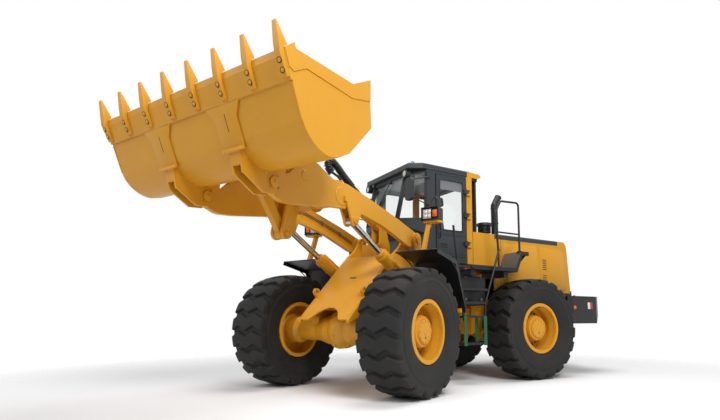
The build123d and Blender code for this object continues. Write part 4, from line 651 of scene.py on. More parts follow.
def wheels():
    """Detailed tyres in place of the plain ones, and the bolts, rings and plugs of each wheel."""
    tyre = tyre_mesh()
    for end, x in (("front", AXLE_X), ("rear", -AXLE_X)):
        for side, sign in (("left", 1), ("right", -1)):
            name = end + "_" + side
            body = name + "_wheel"
            hub = Vector((x, sign * TRACK / 2, WHEEL_R))
            out = Vector((0.0, sign, 0.0))
            rubber = Piece(name + "_tyre_tread", body, RUBBER).add(tyre, Matrix.Translation(hub))
            rubber.done(sharp=32.0, replaces=(name + "_tyre",))

            def at(offset):
                return facing(hub + out * offset, out)
            steel = Piece(name + "_wheel_bolts", body, STEEL)
            steel.add(bolt_ring(24, 0.262, 0.034, 0.022), at(-0.014))
            steel.done(sharp=30.0)
            trim = Piece(name + "_hub_trim", body, YELLOW)
            trim.add(bolt_ring(12, 0.132, 0.024, 0.010, YELLOW), at(0.196))
            trim.hoop([(0.228, 0.352), (0.228, 0.392), (0.246, 0.400), (0.2505, 0.396), (0.2505, 0.360),
                       (0.244, 0.352)], hub, out, 72)
            trim.hoop([(0.10, 0.350), (0.10, 0.332), (0.135, 0.336), (0.20, 0.350)], hub, out, 72)
            trim.turned([(0.190, 0.045), (0.199, 0.045), (0.202, 0.040)], hub, out, 24)
            trim.turned([(-0.010, 0.215), (0.006, 0.212), (0.010, 0.206)], hub, out, 48)
            trim.done(sharp=35.0)
            valve = Piece(name + "_valve", body, STEEL)
            valve.rod(hub + Vector((0.0, 0.16 * sign, 0.345)), hub + Vector((0.0, 0.245 * sign, 0.325)), 0.007, 10)
            low = Vector((0.0, 0.0, -0.075))
            valve.rod(hub + out * 0.196 + low, hub + out * 0.205 + low, 0.013, 12)
            valve.done()


# Bucket

LIP = Vector((4.267, 0.0, 3.242))
FLOOR_END = Vector((4.024, 0.0, 2.676))
BUCKET_HALF = 1.484
TEETH = 8
TOOTH_W = 0.078
FIRST_TOOTH = -BUCKET_HALF + TOOTH_W / 2
TOOTH_STEP = (2 * BUCKET_HALF - TOOTH_W) / (TEETH - 1)
BUCKET_PIN = (3.565, 2.360)
FLOOR_WAY = (FLOOR_END - LIP).normalized()
FLOOR_OUT = Vector((-FLOOR_WAY.z, 0.0, FLOOR_WAY.x))


def on_floor(back, out, y=0.0):
    """Point on the bucket's floor plate: back from its lip, out of it and across."""
    return LIP + FLOOR_WAY * back + FLOOR_OUT * out + Vector((0.0, y, 0.0))


def bucket():
    """Tooth bolts with painted shade in their recesses, weld beads, the hangers' front plates with painted shade in
    their slit openings, and pin keepers.
    """
    # The dark rings round the tooth bolts' heads are painted shade in their recesses.
    head, recess_shade = Piece("head", "bucket", YELLOW), Piece("recess_shade", "bucket", DARK_STEEL_AND_SHADE)
    for back, out in ((0.098, 0.0562), (0.182, 0.0490)):
        place = on_floor(back, out, FIRST_TOOTH)
        head.turned([(0.0, 0.019), (0.005, 0.018), (0.008, 0.013)], place, FLOOR_OUT, 20)
        recess_shade.hoop([(0.0, 0.0195), (0.003, 0.020), (0.003, 0.027), (0.0, 0.028)], place, FLOOR_OUT, 24)
    for name, pair in (("tooth_bolts", head), ("tooth_bolt_recess_shade", recess_shade)):
        whole = Piece(name, "bucket", pair.finish)
        whole.add(row(to_mesh(pair.mesh, name), TEETH, (0.0, TOOTH_STEP, 0.0), pair.finish), Matrix())
        whole.done(sharp=35.0)
    welds = Piece("bucket_welds", "bucket", YELLOW)
    for y in (-BUCKET_HALF + 0.006, BUCKET_HALF - 0.006):
        welds.tube([on_floor(0.29, 0.002, y), on_floor(0.61, 0.002, y)], 0.006)
    welds.tube([on_floor(0.272, 0.004, -BUCKET_HALF + 0.02), on_floor(0.272, 0.004, BUCKET_HALF - 0.02)], 0.007)
    for side in SIDES:
        for cheek in (-0.069, 0.069):
            for edge in (-0.028, 0.028):
                y = side * (BOOM_Y + cheek) + edge * 0.55
                welds.tube([on_floor(0.30, 0.004, y), on_floor(0.60, 0.002, y), Vector((3.87, y, 2.512)),
                            Vector((3.70, y, 2.455))], 0.007)
    welds.done(sharp=60.0)
    # Wide front plates of the hangers, flush on the floor, each with a bent lip at its foot
    fronts = Piece("hanger_fronts", "bucket", YELLOW)
    shape = ((0.272, 0.245), (0.400, 0.160), (0.692, 0.150))
    for side in SIDES:
        y = side * BOOM_Y
        edge = [(a, half) for a, half in shape] + [(a, -half) for a, half in reversed(shape)]
        fronts.prism(*([on_floor(a, out, y + half) for a, half in edge] for out in (0.001, 0.0185)))
        foot = ((0.676, 0.004), (0.676, 0.020), (0.694, 0.046), (0.718, 0.050), (0.716, 0.004))
        fronts.slab([on_floor(*place).xz for place in foot], (y - 0.150, y + 0.150))
    fronts.done(bevel=0.003)
    # Dark strips in the hangers' front plates: painted shade in their slit openings.
    slit_shade = Piece("hanger_slit_shade", "bucket", DARK_STEEL_AND_SHADE)
    for side in SIDES:
        line = ((0.36, -0.004), (0.36, 0.004), (0.53, 0.004), (0.53, -0.004))
        slit_shade.prism(*([on_floor(a, out, side * BOOM_Y + half) for a, half in line]
                      for out in (0.0170, 0.0195)))
    slit_shade.done()
    pins = Piece("bucket_pin_keepers", "bucket", YELLOW)
    for side in SIDES:
        for inner in SIDES:
            y = side * BOOM_Y + inner * 0.0965
            x, z = BUCKET_PIN
            pins.turned([(0.0, 0.062), (0.006, 0.062), (0.008, 0.058)], (x, y, z), (0, inner, 0))
            pins.bolts([(x, y + inner * 0.008, z)], (0, inner, 0), 0.026, 0.012)
            pins.bolts([(x + 0.088 * math.cos(turn), y - inner * 0.014, z + 0.088 * math.sin(turn))
                        for turn in (0.7, 2.2, 3.8, 5.3)], (0, inner, 0), 0.020, 0.012)
    pins.done(sharp=30.0)


def teeth():
    """Cast teeth that narrow toward the tip, in place of the plain ones."""
    # (ahead of the lip, out of the floor, share of the width)
    profile = ((0.232, 0.004, 0.60), (0.232, -0.012, 0.60), (0.040, -0.046, 1.0), (0.020, -0.046, 1.0),
               (0.002, 0.0003, 1.0), (-0.056, 0.0183, 1.0), (-0.248, 0.0183, 1.0), (-0.236, 0.044, 0.72),
               (-0.040, 0.062, 0.86), (0.060, 0.040, 0.95))
    one = Piece("tooth", "bucket", YELLOW)
    one.prism(*([on_floor(-a, out, sign * share * TOOTH_W / 2) for a, out, share in profile]
                for sign in (-1, 1)))
    made = Piece("bucket_teeth_cast", "bucket", YELLOW)
    made.add(row(to_mesh(one.mesh, "tooth"), TEETH, (0.0, TOOTH_STEP, 0.0), YELLOW),
             Matrix.Translation((0.0, FIRST_TOOTH, 0.0)))
    made.done(bevel=0.004, segments=3, replaces=("bucket_teeth",))


# Boom and its cylinders

# Places as (x, z)
BOOM_PIN = (0.760, 2.130)
LIFT_BASE = (0.620, 1.300)
LIFT_EYE = (2.220, 2.180)
TILT_BASE = (0.880, 2.380)
CRANK_PIVOT = (2.720, 2.560)
CRANK_FOOT = (2.860, 1.985)
CRANK_HEAD = (2.790, 3.150)


def cylinder(base, eye, reach):
    """A cylinder's gland at a reach from its base, the way along it and the way up from it."""
    run, rise = eye[0] - base[0], eye[1] - base[1]
    length = math.hypot(run, rise)
    way = Vector((run, 0.0, rise)).normalized()
    gland = Vector((base[0] + run * reach / length, 0.0, base[1] + rise * reach / length))
    return gland, way, Vector((-way.z, 0.0, way.x))


def gland_bolts(piece, place, way, up, radius, across, height):
    """Eight bolts round a cylinder's gland."""
    for turn in range(0, 360, 45):
        lean = up * math.cos(math.radians(turn)) + Vector((0.0, math.sin(math.radians(turn)), 0.0))
        piece.bolts([place + lean * radius], way, across, height)


def capped_pin(piece, place, direction, radius):
    """Pin head with its keeper plate, two bolts and grease nipple."""
    out = Vector(direction)
    piece.turned([(0.0, radius), (0.010, radius), (0.013, radius - 0.004)], place, out)
    centre = Vector(place) + out * 0.013
    piece.bolts([centre + Vector((dx, 0.0, 0.0)) for dx in (-radius * 0.45, radius * 0.45)], out, 0.020, 0.010)
    nipple = centre + Vector((0.0, 0.0, radius * 0.4))
    piece.turned([(0.0, 0.007), (0.012, 0.006), (0.018, 0.003)], nipple, out, 10)


def boom_details():
    """Pin keepers, seat plates, welds and grease pipes of the boom."""
    keepers = Piece("boom_pin_keepers", "boom", YELLOW)
    for side in SIDES:
        capped_pin(keepers, (LIFT_EYE[0], side * (BOOM_Y + 0.082), LIFT_EYE[1]), (0, side, 0), 0.046)
        capped_pin(keepers, (CRANK_PIVOT[0], side * 0.170, CRANK_PIVOT[1]), (0, side, 0), 0.050)
        # Round seat plates welded on the boom's outer faces, at the cross tube and over the pivots
        for (x, z), radius in (((2.440, 2.450), 0.118), ((3.068, 2.560), 0.062)):
            keepers.turned([(0.0, radius), (0.004, radius), (0.009, radius - 0.006)],
                           (x, side * 0.585, z), (0, side, 0), 40)
    keepers.done(sharp=30.0)
    welds = Piece("boom_welds", "boom", YELLOW)
    for side in SIDES:
        angles = [math.radians(turn) for turn in range(0, 360, 20)]
        welds.tube([(2.440 + 0.118 * math.cos(a), side * 0.515, 2.450 + 0.118 * math.sin(a)) for a in angles],
                   0.007, closed=True)
        welds.tube([(2.04, side * 0.586, 2.395), (2.12, side * 0.586, 2.393), (2.40, side * 0.586, 2.393)], 0.005)
    welds.done(sharp=60.0)
    pipes = Piece("boom_grease_pipes", "boom", STEEL)
    for side in SIDES:
        y = side * 0.506
        pipes.tube([(0.90, y, 2.13), (1.20, y, 2.235), (1.60, y, 2.345), (2.00, y, 2.44), (2.28, y, 2.50),
                    (2.32, y, 2.52)], 0.006)
        pipes.tube([(0.90, y, 2.16), (1.20, y, 2.262), (1.60, y, 2.372), (2.00, y, 2.466), (2.26, y, 2.54),
                    (2.33, y, 2.56)], 0.006)
        for x, z in ((1.20, 2.250), (1.60, 2.360), (2.00, 2.453)):
            pipes.block((x - 0.02, x + 0.02), span(side, 0.498, 0.516), (z - 0.030, z + 0.030))
    pipes.done(bevel=0.001)


def cylinder_details():
    """Gland collars, ports, steel pipes and pin keepers of the lift and tilt cylinders."""
    collar = Piece("lift_cylinder_fittings", "lift_barrels", YELLOW)
    gland, way, up = cylinder(LIFT_BASE, LIFT_EYE, 1.085)
    for side in SIDES:
        end = gland + Vector((0.0, side * BOOM_Y, 0.0))
        collar.hoop([(-0.075, 0.0855), (-0.075, 0.0945), (-0.012, 0.0945), (-0.012, 0.0855)], end, way)
        collar.hoop([(0.005, 0.050), (0.005, 0.062), (0.052, 0.062), (0.056, 0.056), (0.056, 0.0445),
                     (0.047, 0.0445), (0.047, 0.050)], end, way, 32)
        gland_bolts(collar, end + way * 0.045, way, up, 0.0555, 0.014, 0.010)
        for back in (0.045, 0.88):
            port = end - way * back + up * 0.082
            collar.rod(port, port + up * 0.030, 0.024)
        start = end - way * 0.045 + up * 0.112
        foot = end - way * 0.88 + up * 0.112
        collar.tube([start, start - way * 0.05 + up * 0.004, foot + way * 0.05 + up * 0.004, foot], 0.012)
        for back in (0.25, 0.55):
            clamp = end - way * back
            collar.hoop([(0.0, 0.0855), (0.0, 0.0900), (0.022, 0.0900), (0.022, 0.0855)], clamp, way, 40)
            clip = clamp + up * 0.112
            collar.rod(clip, clip + way * 0.022, 0.020, 16)
    collar.done(sharp=30.0)
    tilt = Piece("tilt_cylinder_fittings", "tilt_barrel", YELLOW)
    end, way, up = cylinder(TILT_BASE, CRANK_HEAD, 1.080)
    tilt.hoop([(-0.085, 0.0955), (-0.085, 0.106), (-0.010, 0.106), (-0.010, 0.0955)], end, way)
    gland_bolts(tilt, end, way, up, 0.088, 0.018, 0.012)
    for back in (0.050, 0.82):
        port = end - way * back + up * 0.092
        tilt.rod(port, port + up * 0.034, 0.028)
    tilt.done(sharp=30.0)
    # Two hoses in one spiral guard that arch from the tower to the cylinder's head
    guard = Piece("tilt_hose_guard", "tilt_barrel", BLACK)
    arch = [(1.18, 0.0, 2.62), (1.34, 0.0, 2.76), (1.55, 0.0, 2.86), (1.72, 0.0, 2.96), (1.86, 0.0, 3.06),
            (1.97, 0.0, 3.12), (2.06, 0.0, 3.10), (2.06, 0.0, 3.02), (1.99, 0.0, 2.96)]
    guard.tube(arch, 0.040, 12)
    guard.ribbed(arch[2:], 0.046, 0.012, 30)
    guard.done(sharp=60.0)
    hoses = Piece("tilt_hoses", "tilt_barrel", TRIM_AND_SHADE)
    port = end - way * 0.82 + up * 0.12
    for y in (-0.030, 0.030):
        hoses.tube([(port.x, y, port.z - 0.01), (port.x + 0.01, y, port.z + 0.06), (1.18, y, 2.66),
                   (1.34, y, 2.76)], 0.016)
    port = end - way * 0.050 + up * 0.12
    hoses.tube([(1.99, 0.0, 2.965), (port.x + 0.01, 0.0, port.z + 0.06), (port.x, 0.0, port.z)], 0.018)
    hoses.done(sharp=60.0)
    keepers = Piece("crank_pin_keepers", "bellcrank", YELLOW)
    for x, z in (CRANK_FOOT, CRANK_HEAD):
        for side in SIDES:
            capped_pin(keepers, (x, side * 0.122, z), (0, side, 0), 0.040)
    keepers.done(sharp=30.0)


# Front frame, mudguards and headlamps

def front_frame_details():
    """Pin keepers, the sloping face's slot with painted shade in it and the face's welds, and the front axle's
    bolts, hoses and brake pipes.
    """
    keepers = Piece("front_frame_pin_keepers", "front_frame", YELLOW)
    for side in SIDES:
        for (x, z), y, radius in ((BOOM_PIN, 0.650, 0.062), (LIFT_BASE, 0.616, 0.052), (TILT_BASE, 0.104, 0.050)):
            capped_pin(keepers, (x, side * y, z), (0, side, 0), radius)
    keepers.done(sharp=30.0)
    run = Vector((2.095 - 1.120, 0.0, 0.950 - 1.880)).normalized()
    face_out = Vector((-run.z, 0.0, run.x))

    def on_face(down, out, y):
        return Vector((1.120, 0.0, 1.880)) + run * down + face_out * out + Vector((0.0, y, 0.0))

    # A dark sheet in the sloping face's slot: painted shade in the opening.
    slot = Piece("front_face_slot_shade", "front_frame", TRIM_AND_SHADE)
    corners = [on_face(down, 0.0008, y)
               for down, y in ((0.488, -0.055), (0.488, 0.055), (0.516, 0.055), (0.516, -0.055))]
    slot.prism(corners, [p - face_out * 0.006 for p in corners])
    slot.done()
    edges = Piece("front_face_welds", "front_frame", YELLOW)
    for side in SIDES:
        edges.tube([on_face(0.04, 0.002, side * 0.402), on_face(1.30, 0.002, side * 0.402)], 0.008)
    arch = [(0.290 * math.cos(math.radians(a)), 0.820 + 0.290 * math.sin(math.radians(a)))
            for a in range(30, 151, 12)]
    edges.tube([(2.095 - (z - 0.950) * 1.048 + 0.004, y, z) for y, z in arch], 0.009)
    edges.done(sharp=60.0)
    flange = Piece("differential_bolts", "front_frame", YELLOW)
    flange.add(bolt_ring(16, 0.236, 0.022, 0.014, YELLOW), facing((AXLE_X + 0.095, 0.0, WHEEL_R), AHEAD))
    flange.turned([(0.0, 0.022), (0.010, 0.021), (0.014, 0.016)], (AXLE_X + 0.236, 0.0, WHEEL_R - 0.075),
                  (1, 0, -0.3), 20)
    for side in SIDES:
        flange.add(bolt_ring(20, 0.176, 0.020, 0.012, YELLOW), facing((AXLE_X, side * 0.935, WHEEL_R), (0, side, 0)))
    flange.done(sharp=30.0)
    hoses = Piece("front_frame_hoses", "front_frame", TRIM_AND_SHADE)
    for side in SIDES:
        for k in range(2):
            y = side * (0.20 + 0.05 * k)
            hoses.tube([(0.36, y, 1.20), (0.46, y, 1.34), (0.62, y + side * 0.06, 1.60),
                        (0.80, y + side * 0.08, 1.72),
                        (0.98, y + side * 0.02, 1.775)], 0.017)
    hoses.done(sharp=60.0)
    brake = Piece("front_axle_brake_pipes", "front_frame", STEEL)
    for side in SIDES:
        brake.tube([(AXLE_X - 0.06, side * 0.20, WHEEL_R + 0.235), (AXLE_X - 0.05, side * 0.32, WHEEL_R + 0.190),
                    (AXLE_X - 0.03, side * 0.55, WHEEL_R + 0.160), (AXLE_X - 0.02, side * 0.84, WHEEL_R + 0.200)],
                   0.006)
    brake.done()


def guard_top(x):
    """Height of the mudguards' top plate."""
    return 1.745 + (x - 0.985) * 0.204


def mudguard_details():
    """Rolled rims, stiffening beads and bolts of the front mudguards."""
    rims = Piece("mudguard_rims", "front_frame", BLACK)
    line = [(0.722, 1.05), (0.706, 1.11), (0.990, 1.744), (1.496, 1.847)]
    for side in SIDES:
        for y in (1.396, 0.746):
            rims.tube([(x, side * y, z) for x, z in line], 0.008)
        rims.rod((1.498, side * 0.744, 1.846), (1.498, side * 1.398, 1.846), 0.008, 12)
        for x in (1.12, 1.20, 1.41):
            z = guard_top(x) + 0.001
            rims.rod((x, side * 0.80, z), (x, side * 1.34, z), 0.007, 10)
    rims.done(sharp=60.0)
    bolts = Piece("mudguard_bolts", "front_frame", DARK_STEEL_AND_SHADE)
    for side in SIDES:
        bolts.bolts([(x, side * y, guard_top(x)) for x in (1.05, 1.20) for y in (0.80, 0.90)], (-0.2, 0.0, 1.0),
                    0.024, 0.012)
    bolts.done(sharp=30.0)


def headlamps():
    """Four-lens lamps, turn lamps, hoods and grab arches in the headlamp housings."""
    glass = Piece("headlamp_lenses", "front_frame", LENS)
    amber = Piece("turn_lamps", "front_frame", AMBER)
    rims = Piece("headlamp_guards", "front_frame", TRIM_AND_SHADE)
    shine = Piece("headlamp_reflectors", "front_frame", CHROME)
    for side in SIDES:
        glass.block((1.2035, 1.2075), span(side, 0.998, 1.126), (2.326, 2.454))
        for y in (side * 1.031, side * 1.093):
            for z in (2.360, 2.420):
                place = (1.2075, y, z)
                glass.turned([(0.0, 0.026), (0.004, 0.025), (0.008, 0.018), (0.0095, 0.001)], place, AHEAD, 24)
                shine.hoop([(0.0, 0.027), (0.004, 0.028), (0.006, 0.026), (0.004, 0.0255)], place, AHEAD, 24)
        amber.block((1.2005, 1.210), span(side, 1.148, 1.222), (2.344, 2.436))
        amber.turned([(0.0, 0.030), (0.006, 0.028), (0.012, 0.018), (0.014, 0.001)],
                     (1.210, side * 1.185, 2.390), AHEAD, 24)
        across = span(side, 0.975, 1.245)
        rims.block((1.160, 1.226), across, (2.474, 2.486))
        rims.block((1.160, 1.222), across, (2.296, 2.304))
        for y in (side * 0.977, side * 1.137, side * 1.243):
            rims.block((1.165, 1.218), (y - 0.004, y + 0.004), (2.300, 2.480))
        rims.tube([(1.13, side * 1.090, 2.482), (1.13, side * 1.085, 2.56), (1.13, side * 1.12, 2.625),
                   (1.13, side * 1.17, 2.630), (1.13, side * 1.215, 2.585), (1.13, side * 1.22, 2.482)], 0.011)
    glass.done(bevel=0.002)
    amber.done(bevel=0.003)
    rims.done(bevel=0.003)
    shine.done()
    stalks = Piece("headlamp_brackets", "front_frame", BLACK)
    for side in SIDES:
        stalks.block((1.215, 1.385), span(side, 1.00, 1.115), (1.8175, 1.8215))
        stalks.bolts([(x, side * y, 1.826) for x in (1.235, 1.365) for y in (1.012, 1.103)], UP, 0.020, 0.010)
        y = side * 1.10
        stalks.tube([(1.10, side * 1.058, 2.272), (1.16, y, 2.18), (1.24, y, 1.98), (1.27, y, 1.83)], 0.007)
    stalks.done(bevel=0.001)


# Cab

DOOR_FACE = 0.804


def screen(y, z, out=0.0):
    """Point on the windscreen's outer face, or out of it."""
    return Vector((0.538 - (z - 2.500) * 0.2164 + out, y, z + out * 0.2164))


def round_frame(x, z, y, corner):
    """Points of a rounded rectangle in a Y plane."""
    (x0, x1), (z0, z1) = x, z
    points = []
    for cx, cz, start in ((x1 - corner, z1 - corner, 0), (x0 + corner, z1 - corner, 90),
                          (x0 + corner, z0 + corner, 180), (x1 - corner, z0 + corner, 270)):
        for turn in (0, 30, 60, 90):
            angle = math.radians(start + turn)
            points.append((cx + corner * math.cos(angle), y, cz + corner * math.sin(angle)))
    return points


def cab_details():
    """Door, seals, wiper, roof, work lamps, mirrors and what stands inside."""
    shade = Piece("door_sun_strip", "cab_door", SHADE)
    shade.block((-0.519, -0.056), (0.7872, 0.7878), (3.000, 3.158))
    shade.done()
    seal = Piece("door_seal", "cab_door", TRIM_AND_SHADE)
    seal.tube(round_frame((-0.524, -0.051), (2.346, 3.164), DOOR_FACE + 0.001, 0.044), 0.009, closed=True)
    seal.done(sharp=60.0)
    panel = Piece("door_panel", "cab_door", CHARCOAL)
    panel.block((-0.560, -0.020), (DOOR_FACE, DOOR_FACE + 0.005), (1.965, 2.235))
    panel.block((-0.560, -0.020), (DOOR_FACE, DOOR_FACE + 0.003), (2.262, 2.318))
    panel.done(bevel=0.004, segments=3)
    handle = Piece("door_handle", "cab_door", TRIM_AND_SHADE)
    handle.block((-0.190, -0.060), (DOOR_FACE, DOOR_FACE + 0.010), (2.060, 2.150))
    handle.block((-0.178, -0.072), (DOOR_FACE + 0.010, DOOR_FACE + 0.024), (2.112, 2.134))
    handle.rod((-0.155, DOOR_FACE + 0.008, 2.085), (-0.155, DOOR_FACE + 0.015, 2.085), 0.011, 16)
    handle.tube([(-0.040, DOOR_FACE, 2.20), (-0.040, DOOR_FACE + 0.045, 2.22), (-0.040, DOOR_FACE + 0.050, 2.45),
                 (-0.040, DOOR_FACE + 0.045, 2.68), (-0.040, DOOR_FACE, 2.70)], 0.011)
    for z in (2.150, 2.620, 3.010):
        handle.block((-0.600, -0.545), (DOOR_FACE, DOOR_FACE + 0.012), (z - 0.030, z + 0.030))
        handle.bolts([(-0.560, DOOR_FACE + 0.012, z + dz) for dz in (-0.018, 0.018)], (0, 1, 0), 0.016, 0.008)
    handle.done(bevel=0.003)

    seals = Piece("cab_seals", "rear_frame", TRIM_AND_SHADE)
    seals.tube(round_frame((-0.602, 0.032), (2.292, 3.234), -0.7805, 0.030), 0.008, closed=True)
    corners = ((0.448, 2.502), (-0.448, 2.502), (-0.463, 3.228), (0.463, 3.228))
    for (ya, za), (yb, zb) in zip(corners, corners[1:] + corners[:1]):
        seals.rod(screen(ya, za, 0.002), screen(yb, zb, 0.002), 0.009, 10)
    for side in SIDES:
        seals.rod((0.562, side * 0.474, 2.502), (0.401, side * 0.497, 3.276), 0.016, 12)
        seals.rod((0.548, side * 0.502, 2.503), (0.386, side * 0.523, 3.228), 0.009, 10)
        seals.rod((0.202, side * 0.772, 2.503), (0.202, side * 0.769, 3.228), 0.009, 10)
        seals.rod((-0.719, side * 0.792, 1.84), (-0.719, side * 0.792, 3.27), 0.009, 10)
        seals.rod((0.206, side * 0.772, 2.503), (0.548, side * 0.502, 2.503), 0.008, 10)
    for z in (2.376, 3.214):
        seals.rod((-0.862, -0.676, z), (-0.862, 0.676, z), 0.008, 10)
    seals.done(sharp=60.0)

    wiper = Piece("windscreen_wiper", "rear_frame", TRIM_AND_SHADE)
    wiper.rod(screen(0.06, 3.190, 0.002), screen(0.06, 3.190, 0.040), 0.022, 16)
    wiper.tube([screen(0.06, 3.190, 0.034), screen(0.02, 3.10, 0.036), screen(-0.14, 2.90, 0.030),
                screen(-0.20, 2.83, 0.024)], 0.007)
    wiper.tube([screen(-0.02, 3.00, 0.018), screen(-0.12, 2.90, 0.022), screen(-0.32, 2.70, 0.018)], 0.006)
    wiper.rod(screen(-0.01, 3.01, 0.009), screen(-0.33, 2.69, 0.009), 0.006, 8)
    wiper.done(sharp=60.0)

    roof = Piece("roof_trim", "rear_frame", CHARCOAL)
    outline = [(-0.62, 0.803), (0.26, 0.803), (0.463, 0.673), (0.463, -0.673), (0.26, -0.803), (-0.62, -0.803)]
    for (xa, ya), (xb, yb) in zip(outline, outline[1:]):
        roof.rod((xa, ya, 3.292), (xb, yb, 3.292), 0.008, 10)
    roof.block((-0.46, 0.20), (-0.52, 0.52), (3.3795, 3.392))
    roof.done(bevel=0.006, segments=3)
    rings = Piece("roof_rings", "rear_frame", BLACK)
    for x in (-0.52, 0.30):
        for side in SIDES:
            rings.hoop([(-0.006, 0.026), (0.006, 0.026), (0.010, 0.032), (0.006, 0.038), (-0.006, 0.038),
                        (-0.010, 0.032)], (x, side * 0.56, 3.412), (0, 1, 0), 28)
            rings.turned([(0.0, 0.026), (0.004, 0.026), (0.008, 0.022)], (x, side * 0.56, 3.3795), UP, 24)
    rings.done(sharp=35.0)

    lenses = Piece("work_lamp_lenses", "rear_frame", LENS)
    bezels = Piece("work_lamp_bezels", "rear_frame", TRIM_AND_SHADE)
    for side in SIDES:
        place = (0.4803, side * 0.600, 3.210)
        lenses.turned([(0.0, 0.050), (0.004, 0.049), (0.009, 0.038), (0.012, 0.016), (0.013, 0.001)],
                      place, AHEAD, 36)
        bezels.hoop([(-0.040, 0.0603), (0.010, 0.0603), (0.013, 0.056), (0.010, 0.0505), (0.0, 0.0505),
                     (-0.001, 0.0600), (-0.038, 0.0601)], place, AHEAD, 40)
        bezels.block((0.410, 0.436), (side * 0.600 - 0.022, side * 0.600 + 0.022), (3.268, 3.279))
    lenses.done()
    bezels.done(sharp=35.0)

    glass_faces = Piece("mirror_faces", "rear_frame", CHROME)
    frames = Piece("mirror_brackets", "rear_frame", TRIM_AND_SHADE)
    for side in SIDES:
        y = side * 0.960
        face = [(y - 0.064, 2.740), (y + 0.064, 2.740), (y + 0.068, 2.760), (y + 0.068, 2.960), (y + 0.064, 2.980),
                (y - 0.064, 2.980), (y - 0.068, 2.960), (y - 0.068, 2.760)]
        glass_faces.prism([(0.5885, a, b) for a, b in face], [(0.5898, a, b) for a, b in face])
        frames.rod((0.620, y, 2.720), (0.620, y, 3.040), 0.012, 12)
        frames.tube([(0.160, side * 0.803, 2.700), (0.180, side * 0.835, 2.700), (0.560, side * 0.950, 2.745),
                     (0.600, side * 0.958, 2.750)], 0.009)
        for z in (2.700, 3.160):
            frames.block((0.130, 0.190), span(side, 0.8004, 0.812), (z - 0.035, z + 0.035))
    glass_faces.done(sharp=30.0)
    frames.done(bevel=0.002)

    dash = Piece("dashboard", "rear_frame", TRIM_AND_SHADE)
    dash.slab([(0.212, 2.335), (0.300, 2.335), (0.500, 2.440), (0.505, 2.480), (0.430, 2.515), (0.300, 2.560),
               (0.212, 2.520)], (-0.385, 0.385))
    dash.slab([(0.105, 2.440), (0.212, 2.400), (0.212, 2.545), (0.150, 2.560), (0.105, 2.520)], (-0.130, 0.130))
    dash.done(bevel=0.016, segments=3)
    levers = Piece("cab_controls", "rear_frame", TRIM_AND_SHADE)
    for x, y in ((-0.06, -0.36), (-0.06, -0.41), (-0.06, -0.46)):
        levers.rod((x, y, 2.430), (x + 0.010, y, 2.520), 0.006, 10)
        levers.turned([(0.0, 0.010), (0.008, 0.016), (0.022, 0.018), (0.034, 0.012), (0.038, 0.004)],
                      (x + 0.010, y, 2.518), (0.1, 0, 1), 16)
    levers.block((-0.50, -0.14), (-0.50, -0.36), (2.4302, 2.470))
    levers.rod((0.075, 0.06, 2.40), (0.030, 0.19, 2.44), 0.006, 8)
    hub = Vector((0.040, 0.0, 2.490))
    way = Vector((-0.170, 0.0, 0.560)).normalized()
    levers.turned([(0.006, 0.062), (0.020, 0.060), (0.030, 0.050), (0.034, 0.030)], hub, way, 28)
    levers.done(bevel=0.004)


def pillow(name, place, size, lean, crown, seams):
    """Padded cushion about its middle: rounded, crowned, with sunk seams along it and piping round it."""
    build = bmesh.new()
    bmesh.ops.create_cube(build, size=2.0)
    bmesh.ops.subdivide_edges(build, edges=build.edges[:], cuts=31, use_grid_fill=True)
    power = 7.0
    for vert in build.verts:
        a, b, c = vert.co
        reach = (abs(a) ** power + abs(b) ** power + abs(c) ** power) ** (1.0 / power)
        a, b, c = a / reach, b / reach, c / reach
        swell = (1.0 - a * a) * (1.0 - b * b)
        sunk = sum(math.exp(-((b - s) / 0.035) ** 2) for s in seams) * (1.0 - a * a)
        lift = (crown * swell - 0.010 * sunk) * (1.0 if c > 0.0 else 0.15)
        height = c * size[2] / 2 + math.copysign(lift, c) * abs(c)
        vert.co = Vector((a * size[0] / 2, b * size[1] / 2, height))
    matrix = Matrix.Translation(place) @ Matrix.Rotation(lean, 4, "Y")
    piece = Piece(name, "rear_frame", SEAT).add(to_mesh(build, name), matrix)
    edge = []
    for turn in range(0, 360, 10):
        x, y = math.cos(math.radians(turn)), math.sin(math.radians(turn))
        reach = (abs(x) ** power + abs(y) ** power) ** (1.0 / power)
        edge.append(matrix @ Vector((x / reach * (size[0] / 2 + 0.001), y / reach * (size[1] / 2 + 0.001),
                                     size[2] * 0.30)))
    piece.tube(edge, 0.0045, 6, closed=True)
    return piece


def seat():
    """Upholstered cushion, back and headrest in place of the plain ones."""
    upright = math.radians(-80.0)
    cushion = pillow("seat_cushion_padded", (-0.260, 0.0, 2.262), (0.475, 0.495, 0.122), 0.0, 0.016, (-0.42, 0.42))
    back = pillow("seat_back_padded", (-0.508, 0.0, 2.612), (0.575, 0.455, 0.118), upright, 0.014, (-0.45, 0.45))
    head = pillow("seat_headrest", (-0.590, 0.0, 2.985), (0.150, 0.280, 0.095), upright, 0.008, ())
    for piece, replaced in ((cushion, ("seat_cushions",)), (back, ()), (head, ())):
        holder = piece.done(sharp=60.0, replaces=replaced)
    stem = Piece("headrest_stems", "rear_frame", STEEL, "rod_chrome")
    for y in (-0.07, 0.07):
        stem.rod((-0.562, y, 2.87), (-0.578, y, 2.95), 0.007, 10)
    stem.done()


# Hood and engine

HOOD_SIDE = 0.780
LOUVRES = ((1.630, 4), (1.838, 6))      # height of the lowest slot and number of slots of each stack
EXHAUST = (-1.770, 0.200)
INTAKE = (-1.510, 0.200)
REAR_LAMP_Z = 1.540


def grille_x(z):
    """Place of the grille's sloping outer face at a height."""
    return -3.030 + (z - 2.290) * (-0.070) / (1.420 - 2.290)


